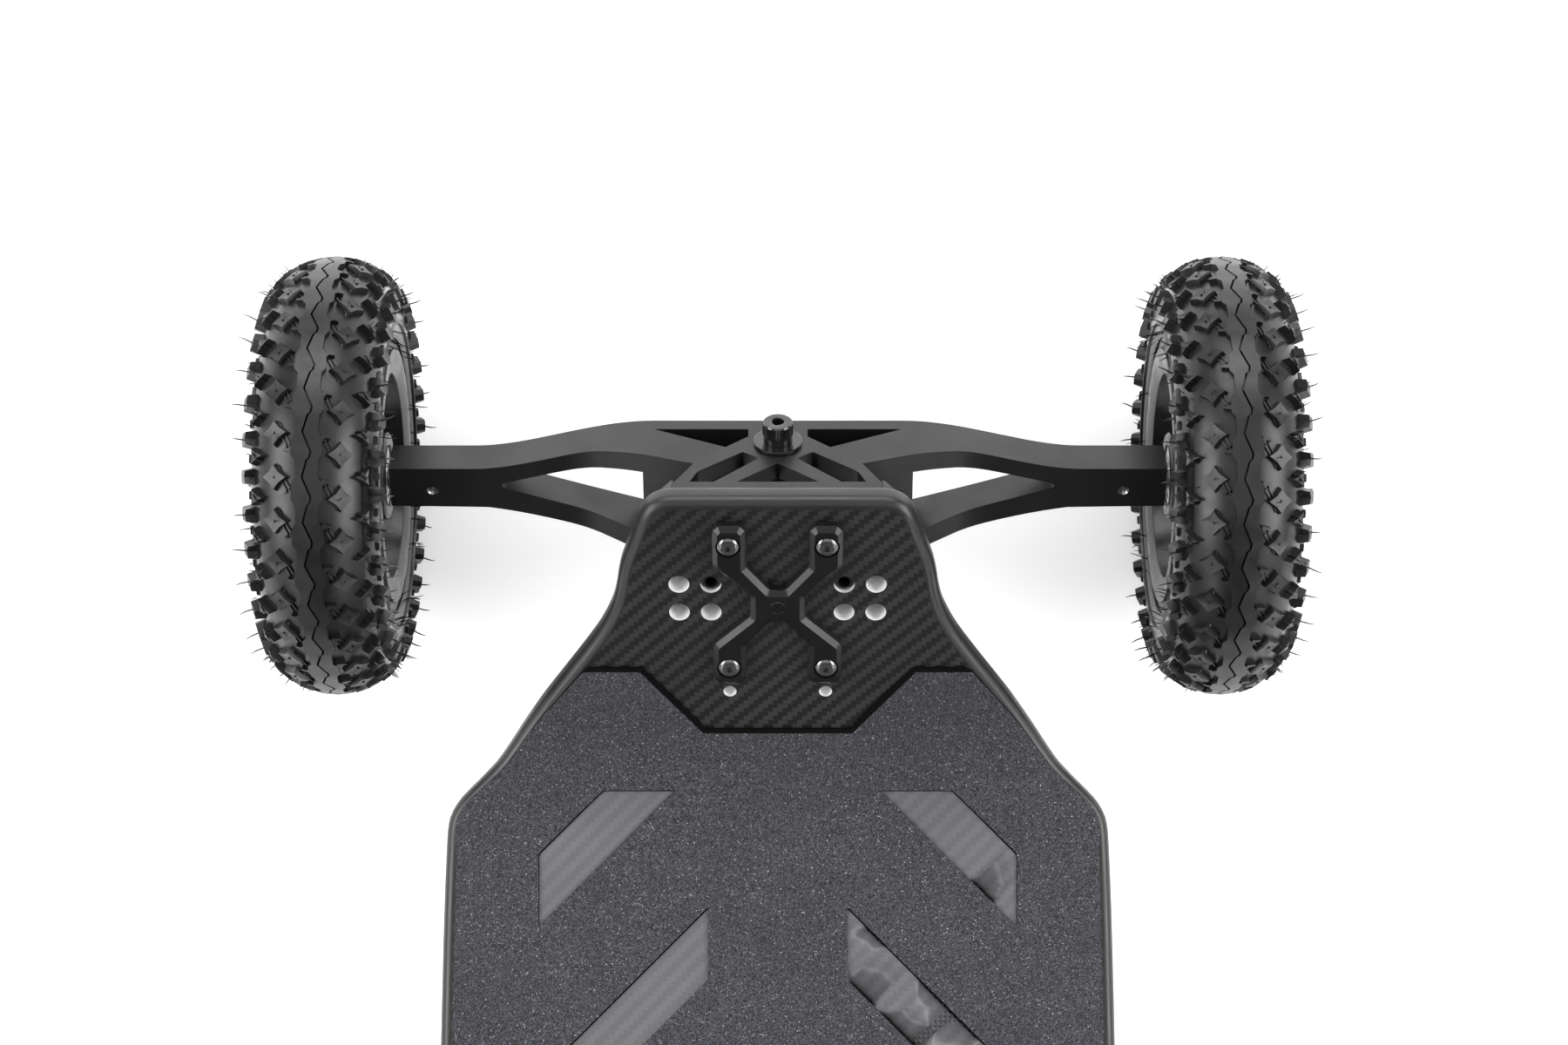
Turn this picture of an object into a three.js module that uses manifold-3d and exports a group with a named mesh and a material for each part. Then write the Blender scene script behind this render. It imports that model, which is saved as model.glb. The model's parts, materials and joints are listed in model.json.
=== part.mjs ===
// An all-terrain electric skateboard: a moulded carbon deck with raised tips, two trussed
// trucks that steer about kingpins, four pneumatic wheels, two belt-drive motors and a
// battery enclosure under the deck.
// Millimetres. +X is the board's right, +Y its nose, +Z up; the origin is on the ground
// under the middle of the board.
import * as THREE from "three";
import { mergeVertices } from "three/addons/utils/BufferGeometryUtils.js";
import Module from "manifold-3d";

const wasm = await Module();
wasm.setup();

// ---- Driving dimensions -------------------------------------------------------------
const FIT = 0.3; // gap between pieces that touch
const WHEELBASE = 900;
const TRACK = 396; // between the tyres' centre planes
const WHEEL_RADIUS = 100;
const TIP_ANGLE = THREE.MathUtils.degToRad(35);

const DECK_THICKNESS = 12;
const DECK_EDGE = 3.5; // chamfer round the deck's edge
const DECK_BEND_RADIUS = 110; // of the top surface, between the flat and each tip
const DECK_TOP_ABOVE_AXLE = 102; // square to the tip
const TIP_START = -50; // the tip's plane runs from here ...
const TIP_END = 56.5; // ... to here, measured along it from the axle

const AXLE_RADIUS = 6;
const BAR_HALF_HEIGHT = 10; // the hanger's square ends, along the kingpin
const BAR_HALF_DEPTH = 9.5; // and square to it
const BAR_END = 174;
const AXLE_START = 128;
const AXLE_END = 233.5;

const KINGPIN_DEPTH = 22.5; // kingpin above the axle, square to the tip
const KINGPIN_RADIUS = 4;
const HANGER_TOP = 23.4; // front plate of the hanger, along the kingpin
const HANGER_BOTTOM = -31;
const PLATE_THICKNESS = 10; // of the hanger's plates and trusses
const WALL_GAP = 1;
const WALL_THICKNESS = 8; // of the baseplate's walls
const BASEPLATE_THICKNESS = 7.7;

const BOLT_X = 41.3 / 2; // truck bolt pattern
const BOLT_K = 63.5 / 2;
const BOLT_CENTRE = 5;

const MOTOR_DISTANCE = 78; // motor shaft from the axle, along the kingpin direction
const MOTOR_RADIUS = 32;
const WHEEL_PULLEY_RADIUS = 51;
const MOTOR_PULLEY_RADIUS = 12.5;
const BELT_IN = 150;
const BELT_WIDTH = 15;
const BELT_THICKNESS = 3.2;
const BELT_GAP = 1.2; // faceted belt and pulleys stay clear of each other

const ENCLOSURE = { width: 200, length: 510, height: 48, wall: 3 };
const GASKET = 1.2;
const GRIP_THICKNESS = 1;

// ---- Materials ----------------------------------------------------------------------
const paint = (color, roughness, metalness = 0) =>
  new THREE.MeshStandardMaterial({ color, roughness, metalness });
const carbon = paint(0x2b2b2d, 0.3);
const grit = paint(0x3a3a3f, 0.95);
const anodised = paint(0x1e1e20, 0.45, 0.7);
const rubber = paint(0x1b1b1c, 0.7);
const steel = paint(0x2f2f31, 0.3, 1);
const bright = paint(0xb9bbc0, 0.3, 1);
const plastic = paint(0x151516, 0.5);
const copper = paint(0xa5633a, 0.4, 0.8);

// ---- Solid helpers ------------------------------------------------------------------
function solidOf(geometry) {
  const bare = new THREE.BufferGeometry();
  bare.setAttribute("position", geometry.getAttribute("position"));
  if (geometry.index) bare.setIndex(geometry.index);
  const merged = mergeVertices(bare, 1e-4);
  return new wasm.Manifold(
    new wasm.Mesh({
      numProp: 3,
      vertProperties: merged.attributes.position.array,
      triVerts: new Uint32Array(merged.index.array),
    }),
  );
}

function geometryOf(solid) {
  const made = solid.getMesh();
  const geometry = new THREE.BufferGeometry();
  geometry.setAttribute("position", new THREE.BufferAttribute(made.vertProperties, 3));
  geometry.setIndex(new THREE.BufferAttribute(made.triVerts, 1));
  return geometry;
}

const join = (first, ...more) => more.reduce((a, b) => a.add(b), first);
const cut = (first, ...tools) => tools.reduce((a, b) => a.subtract(b), first);

function box(low, high) {
  const size = high.map((v, i) => v - low[i]);
  const middle = high.map((v, i) => (v + low[i]) / 2);
  return solidOf(new THREE.BoxGeometry(...size).translate(...middle));
}

// A cylinder along x, y or z, from one place on that axis to another.
function rod(axis, radius, from, to, centre = [0, 0], segments = 12) {
  const made = new THREE.CylinderGeometry(radius, radius, to - from, segments);
  made.translate(0, (from + to) / 2, 0);
  if (axis === "x") made.rotateZ(-Math.PI / 2).translate(0, centre[0], centre[1]);
  if (axis === "y") made.translate(centre[0], 0, centre[1]);
  if (axis === "z") made.rotateX(Math.PI / 2).translate(centre[0], centre[1], 0);
  return solidOf(made);
}

// A solid of revolution about x. The profile is a closed loop of [x, radius].
function turned(profile, segments = 16, start = 0) {
  const area = profile.reduce((sum, [x, r], i) => {
    const [nextX, nextR] = profile[(i + 1) % profile.length];
    return sum + x * nextR - nextX * r;
  }, 0);
  const ordered = area > 0 ? [...profile].reverse() : profile;
  const points = ordered.map(([x, r]) => new THREE.Vector2(r, x));
  points.push(points[0].clone());
  const made = new THREE.LatheGeometry(points, segments, start).rotateZ(-Math.PI / 2);
  return solidOf(made);
}

function polygon(points) {
  return new THREE.Shape(points.map(([x, y]) => new THREE.Vector2(x, y)));
}

// Extrudes a shape drawn in x and y along z, between two heights.
function slab(shape, from, to, curveSegments = 5) {
  const options = { depth: to - from, bevelEnabled: false, curveSegments };
  return solidOf(new THREE.ExtrudeGeometry(shape, options).translate(0, 0, from));
}

// Extrudes a shape drawn in x and z along y, between two places.
function slabAlongY(shape, from, to, curveSegments = 5) {
  const options = { depth: to - from, bevelEnabled: false, curveSegments };
  const made = new THREE.ExtrudeGeometry(shape, options);
  return solidOf(made.rotateX(Math.PI / 2).translate(0, to, 0));
}

// Extrudes a shape drawn in y and z along x, between two places.
function slabAlongX(shape, from, to, curveSegments = 8) {
  const options = { depth: to - from, bevelEnabled: false, curveSegments };
  const made = new THREE.ExtrudeGeometry(shape, options);
  made.rotateZ(Math.PI / 2).rotateY(Math.PI / 2);
  return solidOf(made.translate(from, 0, 0));
}

const mirrorX = (points) => points.map(([x, y]) => [-x, y]).reverse();
const bothSides = (half) => [...half, ...mirrorX(half)];

// ---- The board's group and its frames -----------------------------------------------
const board = new THREE.Group();

function add(parent, name, solid, material) {
  const mesh = new THREE.Mesh(geometryOf(solid), material);
  mesh.name = name;
  parent.add(mesh);
  return mesh;
}

// Each end of the board is the same, turned half round. A truck's own frame has its origin
// at the middle of the axle, y along the kingpin (up and outwards) and z square to the tip.
function endFrames(name) {
  const end = new THREE.Group();
  end.rotation.z = name === "front" ? 0 : Math.PI;
  const truck = new THREE.Group();
  truck.position.set(0, WHEELBASE / 2, WHEEL_RADIUS);
  truck.rotation.x = TIP_ANGLE;
  end.add(truck);
  board.add(end);
  return { name, end, truck };
}

// The board's left is -X; an end that is turned half round has its own +x there.
const sideName = (endName, side) => ((endName === "front") === side > 0 ? "right" : "left");

// ---- Deck ---------------------------------------------------------------------------
const tipCos = Math.cos(TIP_ANGLE);
const tipSin = Math.sin(TIP_ANGLE);
const bendEnd = {
  y: WHEELBASE / 2 + TIP_START * tipCos - DECK_TOP_ABOVE_AXLE * tipSin,
  z: WHEEL_RADIUS + TIP_START * tipSin + DECK_TOP_ABOVE_AXLE * tipCos,
};
const deckFlatHalf = bendEnd.y - DECK_BEND_RADIUS * tipSin;
const deckFlatTop = bendEnd.z - DECK_BEND_RADIUS * (1 - tipCos);
const bendLength = DECK_BEND_RADIUS * TIP_ANGLE;
const deckHalfLength = deckFlatHalf + bendLength + TIP_END - TIP_START;

// The deck's top surface at a length from the middle, raised by a height square to it.
function deckPoint(length, height) {
  const along = Math.abs(length);
  const turn = Math.min(Math.max(along - deckFlatHalf, 0) / DECK_BEND_RADIUS, TIP_ANGLE);
  const past = Math.max(along - deckFlatHalf - bendLength, 0);
  const flat = Math.min(along, deckFlatHalf);
  const radius = DECK_BEND_RADIUS - height;
  const y = flat + radius * Math.sin(turn) + past * Math.cos(turn);
  const z = deckFlatTop + DECK_BEND_RADIUS - radius * Math.cos(turn) + past * Math.sin(turn);
  return { y: Math.sign(length) * y, z };
}

// Half the deck's width at lengths back from its end, from the nose to the middle.
const outlineFromEnd = [
  [0, 43],
  [1, 48.5],
  [3.5, 53],
  [7, 56.2],
  [32.5, 66],
  [47.5, 68.5],
  [67.5, 75.5],
  [97.5, 95],
  [144.5, 126],
  [157, 140],
  [166.5, 145],
  [216.5, 147.5],
  [deckHalfLength, 150],
];

function halfWidth(length) {
  const back = deckHalfLength - Math.abs(length);
  const i = outlineFromEnd.findIndex(([at]) => at >= back - 1e-9);
  if (i <= 0) return outlineFromEnd[0][1];
  const [fromAt, fromWidth] = outlineFromEnd[i - 1];
  const [toAt, toWidth] = outlineFromEnd[i];
  return THREE.MathUtils.mapLinear(back, fromAt, toAt, fromWidth, toWidth);
}

// Lengths at which the outline or the surface turns, from the rear end to the front one.
function deckStations(stop = deckHalfLength) {
  const BEND_STEPS = 5;
  const half = outlineFromEnd.map(([back]) => deckHalfLength - back);
  for (let i = 0; i <= BEND_STEPS; i++) half.push(deckFlatHalf + (bendLength * i) / BEND_STEPS);
  const kept = half.filter((length) => length < stop - 1).concat(stop);
  const sorted = [...new Set(kept)].sort((a, b) => a - b);
  const spaced = sorted.filter((v, i) => i === 0 || v - sorted[i - 1] > 0.5);
  return [...spaced.map((v) => -v).reverse(), ...spaced.slice(1)];
}

// A shell that follows the deck: at each station a ring of [x, height] points.
function alongDeck(stations, ringAt) {
  const rings = stations.map((length) =>
    ringAt(length).map(([x, height]) => {
      const { y, z } = deckPoint(length || 1e-6, height);
      return [x, y, z];
    }),
  );
  const count = rings[0].length;
  const index = [];
  for (let s = 0; s + 1 < rings.length; s++) {
    for (let i = 0; i < count; i++) {
      const a = s * count + i;
      const b = s * count + ((i + 1) % count);
      index.push(a, b, b + count, a, b + count, a + count);
    }
  }
  const last = (rings.length - 1) * count;
  for (let i = 1; i + 1 < count; i++) index.push(0, i + 1, i, last, last + i, last + i + 1);
  const geometry = new THREE.BufferGeometry();
  geometry.setAttribute("position", new THREE.Float32BufferAttribute(rings.flat(2), 3));
  geometry.setIndex(index);
  return solidOf(geometry);
}

// Holes square to a tip, drawn in the truck's frame and carried to the board's.
function carriedToTip(solid, endName) {
  const frame = new THREE.Matrix4().makeRotationZ(endName === "front" ? 0 : Math.PI);
  frame.multiply(new THREE.Matrix4().makeTranslation(0, WHEELBASE / 2, WHEEL_RADIUS));
  frame.multiply(new THREE.Matrix4().makeRotationX(TIP_ANGLE));
  return solidOf(geometryOf(solid).applyMatrix4(frame));
}

const deckUnder = DECK_TOP_ABOVE_AXLE - DECK_THICKNESS;
const SPARE_HOLES = [
  { x: 28.2, k: 13.7, radius: 4.4 },
  { x: 41.7, k: 13.7, radius: 4.4 },
  { x: 28.2, k: -0.9, radius: 4.4 },
  { x: 41.7, k: -0.9, radius: 4.4 },
  { x: BOLT_X, k: -43.6, radius: 2.8 },
];

const TRUCK_BOLTS = [-1, 1].flatMap((x) => [-1, 1].map((k) => [x * BOLT_X, BOLT_CENTRE + k * BOLT_K]));

function makeDeck() {
  const ring = (length) => {
    const w = halfWidth(length);
    const inner = w - DECK_EDGE;
    return [
      [inner, 0],
      [w, -DECK_EDGE],
      [w, DECK_EDGE - DECK_THICKNESS],
      [inner, -DECK_THICKNESS],
      [-inner, -DECK_THICKNESS],
      [-w, DECK_EDGE - DECK_THICKNESS],
      [-w, -DECK_EDGE],
      [-inner, 0],
    ];
  };
  const drill = (radius, centre, segments) =>
    rod("z", radius, deckUnder - 5, DECK_TOP_ABOVE_AXLE + 5, centre, segments);
  const boltHoles = TRUCK_BOLTS.map((centre) => drill(3.3, centre, 6));
  const spareHoles = SPARE_HOLES.flatMap(({ x, k, radius }) =>
    [-x, x].map((side) => drill(radius, [side, k], 6)),
  );
  const drills = [...boltHoles, ...spareHoles];
  const tools = ["front", "rear"].flatMap((end) => drills.map((d) => carriedToTip(d, end)));
  add(board, "deck", cut(alongDeck(deckStations(), ring), ...tools), carbon);
}

// ---- Grip tape ----------------------------------------------------------------------
const GRIP_INSET = 5.5;
const GRIP_STOP = deckHalfLength - 88.5;
const STROKE_INNER = 31.3; // the bare strokes run between these two widths
const STROKE_OUTER = 104.4;
const STROKE_TALL = 30.2; // a stroke's size along the board
const STROKE_PITCH = 98;
const STROKE_FIRST = 356; // the first stroke's inner corner, where it isn't cut short
const STROKE_CUT = 310.8; // and where it is

function strokeShapes() {
  const shapes = [0, 1, 2].map((i) => {
    const top = STROKE_FIRST - i * STROKE_PITCH;
    const fall = STROKE_OUTER - STROKE_INNER;
    const cutTop = Math.min(top, STROKE_CUT);
    const cutLow = Math.min(top - STROKE_TALL, STROKE_CUT);
    return [
      [STROKE_INNER + top - cutTop, cutTop],
      [STROKE_OUTER, top - fall],
      [STROKE_OUTER, top - fall - STROKE_TALL],
      [STROKE_INNER + top - STROKE_TALL - cutLow, cutLow],
    ];
  });
  const quarter = (x, y) => shapes.map((s) => s.map(([u, v]) => [u * x, v * y]));
  return [quarter(1, 1), quarter(-1, 1), quarter(1, -1), quarter(-1, -1)].flat();
}

function makeGrip() {
  const ring = (length) => {
    const w = halfWidth(length) - GRIP_INSET;
    const high = FIT + GRIP_THICKNESS;
    return [
      [w, high],
      [w, FIT],
      [-w, FIT],
      [-w, high],
    ];
  };
  const noseNotch = (sign) => {
    const deep = deckPoint(GRIP_STOP - 31.5, 0).y;
    const far = deckPoint(deckHalfLength, 0).y;
    const edge = deckPoint(GRIP_STOP, 0).y;
    return [
      [31.6, deep],
      [57.5, edge],
      [57.5, far],
      [-57.5, far],
      [-57.5, edge],
      [-31.6, deep],
    ].map(([x, y]) => [x, y * sign]);
  };
  const outlines = [...strokeShapes(), noseNotch(1), noseNotch(-1)];
  const tools = outlines.map((points) => slab(polygon(points), 100, 240));
  add(board, "grip_tape", cut(alongDeck(deckStations(GRIP_STOP), ring), ...tools), grit);
}

// ---- Trucks -------------------------------------------------------------------------
// The cross-shaped plate on top of each tip that the truck bolts pull down on.
function makeTopPlate({ name, truck }) {
  const HEIGHT = 5.7;
  const quadrant = [
    [2.7, 7.6],
    [13.2, 24],
    [13.2, 38.5],
    [15.8, 41],
    [24.5, 41],
    [26.8, 38.5],
    [26.8, 20.3],
    [10.8, 4.5],
  ];
  const right = [...quadrant, ...quadrant.map(([x, y]) => [x, -y]).reverse()];
  const outline = bothSides(right).map(([x, y]) => [x, y + BOLT_CENTRE]);
  const base = DECK_TOP_ABOVE_AXLE + FIT;
  const drills = TRUCK_BOLTS.map((at) => rod("z", 3.3, base - 5, base + 20, at, 8));
  const recesses = TRUCK_BOLTS.map((at) => rod("z", 5.6, base + 3, base + 20, at, 8));
  const plate = cut(slab(polygon(outline), base, base + HEIGHT), ...drills, ...recesses);
  add(truck, name + "_top_plate", plate, plastic);
}

const wallFront = HANGER_TOP + WALL_GAP;
const wallRear = HANGER_BOTTOM - WALL_GAP;
const plateTop = deckUnder - FIT;
const plateUnder = plateTop - BASEPLATE_THICKNESS;

// The baseplate: a plate under the tip, with a wall at each end that holds the kingpin.
function makeBaseplate({ name, truck }) {
  const BOSS = 13;
  const wall = new THREE.Shape();
  wall.moveTo(35.6, 36.5);
  wall.lineTo(44, 52.3);
  wall.lineTo(52, 70);
  wall.lineTo(52, plateTop);
  wall.lineTo(-52, plateTop);
  wall.lineTo(-52, 70);
  wall.lineTo(-44, 52.3);
  wall.lineTo(-35.6, 36.5);
  const turn = THREE.MathUtils.degToRad(50);
  wall.absarc(0, KINGPIN_DEPTH, BOSS, Math.PI + turn - 0.25, 2 * Math.PI - turn + 0.25, false);
  const sideWindow = [
    [15.2, 29.7],
    [34.6, 44.8],
    [36.8, 50],
    [41, 60.5],
    [37, 60.5],
    [8.1, 34.5],
  ];
  const middleWindow = [
    [0, 38],
    [32, 65.5],
    [32, 72],
    [-32, 72],
    [-32, 65.5],
  ];
  const windows = [sideWindow, mirrorX(sideWindow), middleWindow];
  const pierced = (from, to) =>
    cut(slabAlongY(wall, from, to), ...windows.map((w) => slabAlongY(polygon(w), from - 1, to + 1)));
  const plate = slab(
    polygon(
      bothSides([
        [46, wallRear - WALL_THICKNESS],
        [52, wallRear - WALL_THICKNESS + 6],
        [52, 46],
        [44, 54],
      ]),
    ),
    plateUnder,
    plateTop,
  );
  const body = join(
    plate,
    pierced(wallFront, wallFront + WALL_THICKNESS),
    pierced(wallRear - WALL_THICKNESS, wallRear),
  );
  const bore = rod("y", KINGPIN_RADIUS + FIT, -60, 60, [0, KINGPIN_DEPTH]);
  const drills = TRUCK_BOLTS.map((at) => rod("z", 3.3, plateUnder - 5, plateTop + 5, at, 8));
  add(truck, name + "_baseplate", cut(body, bore, ...drills), anodised);
}

const kingpinHeadFrom = wallFront + WALL_THICKNESS + FIT;
const kingpinNutFrom = wallRear - WALL_THICKNESS - FIT;

function makeKingpin({ name, truck }) {
  const HEAD = 10;
  const at = [0, KINGPIN_DEPTH];
  const washer = rod("y", 10.4, kingpinHeadFrom, kingpinHeadFrom + 1.6, at, 16);
  const head = rod("y", 6.6, kingpinHeadFrom, kingpinHeadFrom + HEAD, at, 16);
  const shank = rod("y", KINGPIN_RADIUS, kingpinNutFrom - 9, kingpinHeadFrom + 1, at);
  const socket = rod("y", 2.9, kingpinHeadFrom + 5.5, kingpinHeadFrom + HEAD + 5, at, 6);
  add(truck, name + "_kingpin", cut(join(washer, head, shank), socket), steel);
  const nut = rod("y", 7.5, kingpinNutFrom - 8, kingpinNutFrom, at, 6);
  const thread = rod("y", KINGPIN_RADIUS + FIT, kingpinNutFrom - 20, kingpinNutFrom + 5, at);
  add(truck, name + "_kingpin_nut", cut(nut, thread), steel);
}

// The hanger seen square to its axle and kingpin: trusses that spread towards the middle.
function hangerSideShape() {
  const shape = new THREE.Shape();
  shape.moveTo(BAR_END, -BAR_HALF_HEIGHT);
  shape.lineTo(BAR_END, BAR_HALF_HEIGHT);
  shape.lineTo(136, BAR_HALF_HEIGHT);
  shape.bezierCurveTo(110, BAR_HALF_HEIGHT, 84, HANGER_TOP, 56, HANGER_TOP);
  shape.lineTo(-56, HANGER_TOP);
  shape.bezierCurveTo(-84, HANGER_TOP, -110, BAR_HALF_HEIGHT, -136, BAR_HALF_HEIGHT);
  shape.lineTo(-BAR_END, BAR_HALF_HEIGHT);
  shape.lineTo(-BAR_END, -BAR_HALF_HEIGHT);
  shape.lineTo(-136, -BAR_HALF_HEIGHT);
  shape.quadraticCurveTo(-122, -BAR_HALF_HEIGHT, -110, -14);
  shape.lineTo(-57, HANGER_BOTTOM);
  shape.lineTo(57, HANGER_BOTTOM);
  shape.lineTo(110, -14);
  shape.quadraticCurveTo(122, -BAR_HALF_HEIGHT, 136, -BAR_HALF_HEIGHT);
  return shape;
}

// The hanger seen along its kingpin: flat below, rising to a boss round the kingpin.
function hangerPlanShape() {
  const shape = new THREE.Shape();
  shape.moveTo(BAR_END, -BAR_HALF_DEPTH);
  shape.lineTo(BAR_END, BAR_HALF_DEPTH);
  shape.lineTo(96, BAR_HALF_DEPTH);
  shape.quadraticCurveTo(86, BAR_HALF_DEPTH, 78, 11.8);
  shape.lineTo(6, 35);
  shape.lineTo(-6, 35);
  shape.lineTo(-78, 11.8);
  shape.quadraticCurveTo(-86, BAR_HALF_DEPTH, -96, BAR_HALF_DEPTH);
  shape.lineTo(-BAR_END, BAR_HALF_DEPTH);
  shape.lineTo(-BAR_END, -BAR_HALF_DEPTH);
  return shape;
}

function makeHanger({ name, truck }) {
  const BLOCK_HALF = 60; // the middle block, between the two trusses
  const WEB = 10;
  const sideWindow = new THREE.Shape();
  sideWindow.moveTo(BLOCK_HALF, 13.6);
  sideWindow.bezierCurveTo(82, 13.2, 104, 6.4, 122, 2.4);
  sideWindow.quadraticCurveTo(124.4, 1.2, 122.2, -0.6);
  sideWindow.lineTo(108, -5);
  sideWindow.lineTo(BLOCK_HALF, -19.6);
  const sideTool = slab(sideWindow, -30, 60);
  const plateWindow = [
    [53, -2.5],
    [55, -1.4],
    [18, 14],
    [13.5, 14],
    [13.5, -2.5],
  ];
  const plateTool = slabAlongY(polygon(plateWindow), 0, 40);
  const pocket = [
    [14, HANGER_BOTTOM + PLATE_THICKNESS],
    [BLOCK_HALF - WEB, HANGER_BOTTOM + PLATE_THICKNESS],
    [BLOCK_HALF - WEB, HANGER_TOP - PLATE_THICKNESS],
    [14, HANGER_TOP - PLATE_THICKNESS],
  ];
  const pocketTool = slab(polygon(pocket), -30, 14); // the roof above it carries the spring
  const oneSide = [sideTool, plateTool, pocketTool];
  const tools = [...oneSide, ...oneSide.map((tool) => tool.mirror([1, 0, 0]))];
  tools.push(rod("y", KINGPIN_RADIUS + FIT, -60, 60, [0, KINGPIN_DEPTH]));
  for (const side of [-1, 1]) {
    const ends = [side * AXLE_START, side * (BAR_END + 5)].sort((a, b) => a - b);
    tools.push(rod("x", AXLE_RADIUS + FIT, ...ends));
    tools.push(rod("z", 2.6, AXLE_RADIUS + 1, 20, [side * 155, -1.8], 8));
  }
  const body = slab(hangerSideShape(), -30, 60).intersect(slabAlongY(hangerPlanShape(), -60, 60));
  add(truck, name + "_hanger", cut(body, ...tools), anodised);
}

// A coil spring each side of the kingpin returns the hanger; its sleeve stands for the coil.
const SPRING = { x: 34, k: -4, outer: 11, inner: 7.5 };
function makeSprings({ name, truck }) {
  const foot = 35 - (SPRING.x - SPRING.outer - 6) * (35 - 11.8) / 72 + 2 * FIT;
  for (const side of [-1, 1]) {
    const at = [side * SPRING.x, SPRING.k];
    const sleeve = rod("z", SPRING.outer, foot, plateUnder - FIT, at);
    const hollow = rod("z", SPRING.inner, 0, 100, at);
    const node = `${name}_${sideName(name, side)}_spring`;
    add(truck, node, cut(sleeve, hollow), bright);
  }
}

function makeAxles({ name, truck }) {
  for (const side of [-1, 1]) {
    const ends = [side * (AXLE_START + FIT), side * AXLE_END].sort((a, b) => a - b);
    const node = `${name}_${sideName(name, side)}_axle`;
    add(truck, node, rod("x", AXLE_RADIUS, ...ends), bright);
  }
}

// ---- Wheels -------------------------------------------------------------------------
const TYRE_SEGMENTS = 20;
const HUB = { barrel: 20, bore: 14, half: 23, well: 44, seat: 50, flange: 57.5, face: 26 };
const BEARING_WIDTH = 8;

// The tread is drawn through the flats of the outline, and the wheel stands on one of them.
function makeTyre() {
  const widen = 1 / Math.cos(Math.PI / TYRE_SEGMENTS);
  const bead = HUB.face - 1.5 - FIT;
  const half = [
    [9, 100],
    [22, 94.5],
    [28.5, 80],
    [bead, HUB.flange + 1],
    [bead, HUB.seat + FIT],
    [bead - 4, HUB.seat + FIT],
    [22.5, 76],
    [8, 93],
  ];
  const profile = bothSides(half).map(([x, r]) => [x, r * widen]);
  return turned(profile, TYRE_SEGMENTS, Math.PI / TYRE_SEGMENTS);
}

function makeHub(side) {
  const rim = turned(
    bothSides([
      [HUB.face - 1.5, HUB.seat],
      [HUB.face - 1.5, HUB.flange],
      [HUB.face, HUB.flange],
      [HUB.face, HUB.well],
    ]),
    TYRE_SEGMENTS,
    Math.PI / TYRE_SEGMENTS,
  );
  const barrel = turned(
    [
      [-HUB.half, HUB.bore],
      [HUB.half, HUB.bore],
      [HUB.half, HUB.barrel],
      [-HUB.half, HUB.barrel],
    ],
    12,
  );
  const SPOKES = 5;
  const spider = new THREE.Shape().absarc(0, 0, HUB.well + 2, 0, 2 * Math.PI, false);
  spider.holes.push(new THREE.Path().absarc(0, 0, HUB.barrel - 2, 0, 2 * Math.PI, true));
  const point = (radius, turn) => new THREE.Vector2(radius * Math.cos(turn), radius * Math.sin(turn));
  for (let i = 0; i < SPOKES; i++) {
    const middle = (2 * Math.PI * (i + 0.5)) / SPOKES;
    const window = [
      point(25, middle - 0.2),
      point(25, middle + 0.2),
      point(40, middle + 0.44),
      point(40, middle - 0.44),
    ];
    spider.holes.push(new THREE.Path(window));
  }
  const spokes = slabAlongX(spider, 4, 13, 6).mirror(side > 0 ? [0, 1, 0] : [1, 0, 0]);
  return join(rim, barrel, spokes);
}

function makeWheel({ name, end }, side) {
  const prefix = `${name}_${sideName(name, side)}_`;
  const wheel = new THREE.Group();
  wheel.position.set((side * TRACK) / 2, WHEELBASE / 2, WHEEL_RADIUS);
  end.add(wheel);
  add(wheel, prefix + "tyre", makeTyre(), rubber);
  add(wheel, prefix + "hub", makeHub(side), anodised);
  for (const [place, towards] of [["inner", -side], ["outer", side]]) {
    const middle = towards * (HUB.half - 1 - BEARING_WIDTH / 2);
    const half = BEARING_WIDTH / 2;
    const ring = turned(
      [
        [middle - half, AXLE_RADIUS + FIT],
        [middle + half, AXLE_RADIUS + FIT],
        [middle + half, HUB.bore - FIT],
        [middle - half, HUB.bore - FIT],
      ],
      12,
    );
    add(wheel, prefix + place + "_bearing", ring, bright);
  }
  const nutFrom = side * (HUB.half + 1);
  const ends = [nutFrom, nutFrom + side * 7].sort((a, b) => a - b);
  const nut = rod("x", 10.5, ...ends, [0, 0], 6);
  add(wheel, prefix + "axle_nut", cut(nut, rod("x", AXLE_RADIUS + FIT, -60, 60)), steel);
}

// ---- Belt drive, on the rear truck --------------------------------------------------
// The outline of a belt that runs round both pulleys, a distance outside them, in y and z.
function beltLoop(outside) {
  const big = WHEEL_PULLEY_RADIUS + outside;
  const small = MOTOR_PULLEY_RADIUS + outside;
  const wrap = Math.acos((big - small) / MOTOR_DISTANCE);
  const loop = new THREE.Shape();
  loop.absarc(0, 0, big, wrap, 2 * Math.PI - wrap, false);
  loop.absarc(MOTOR_DISTANCE, 0, small, -wrap, wrap, false);
  return loop;
}

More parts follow.
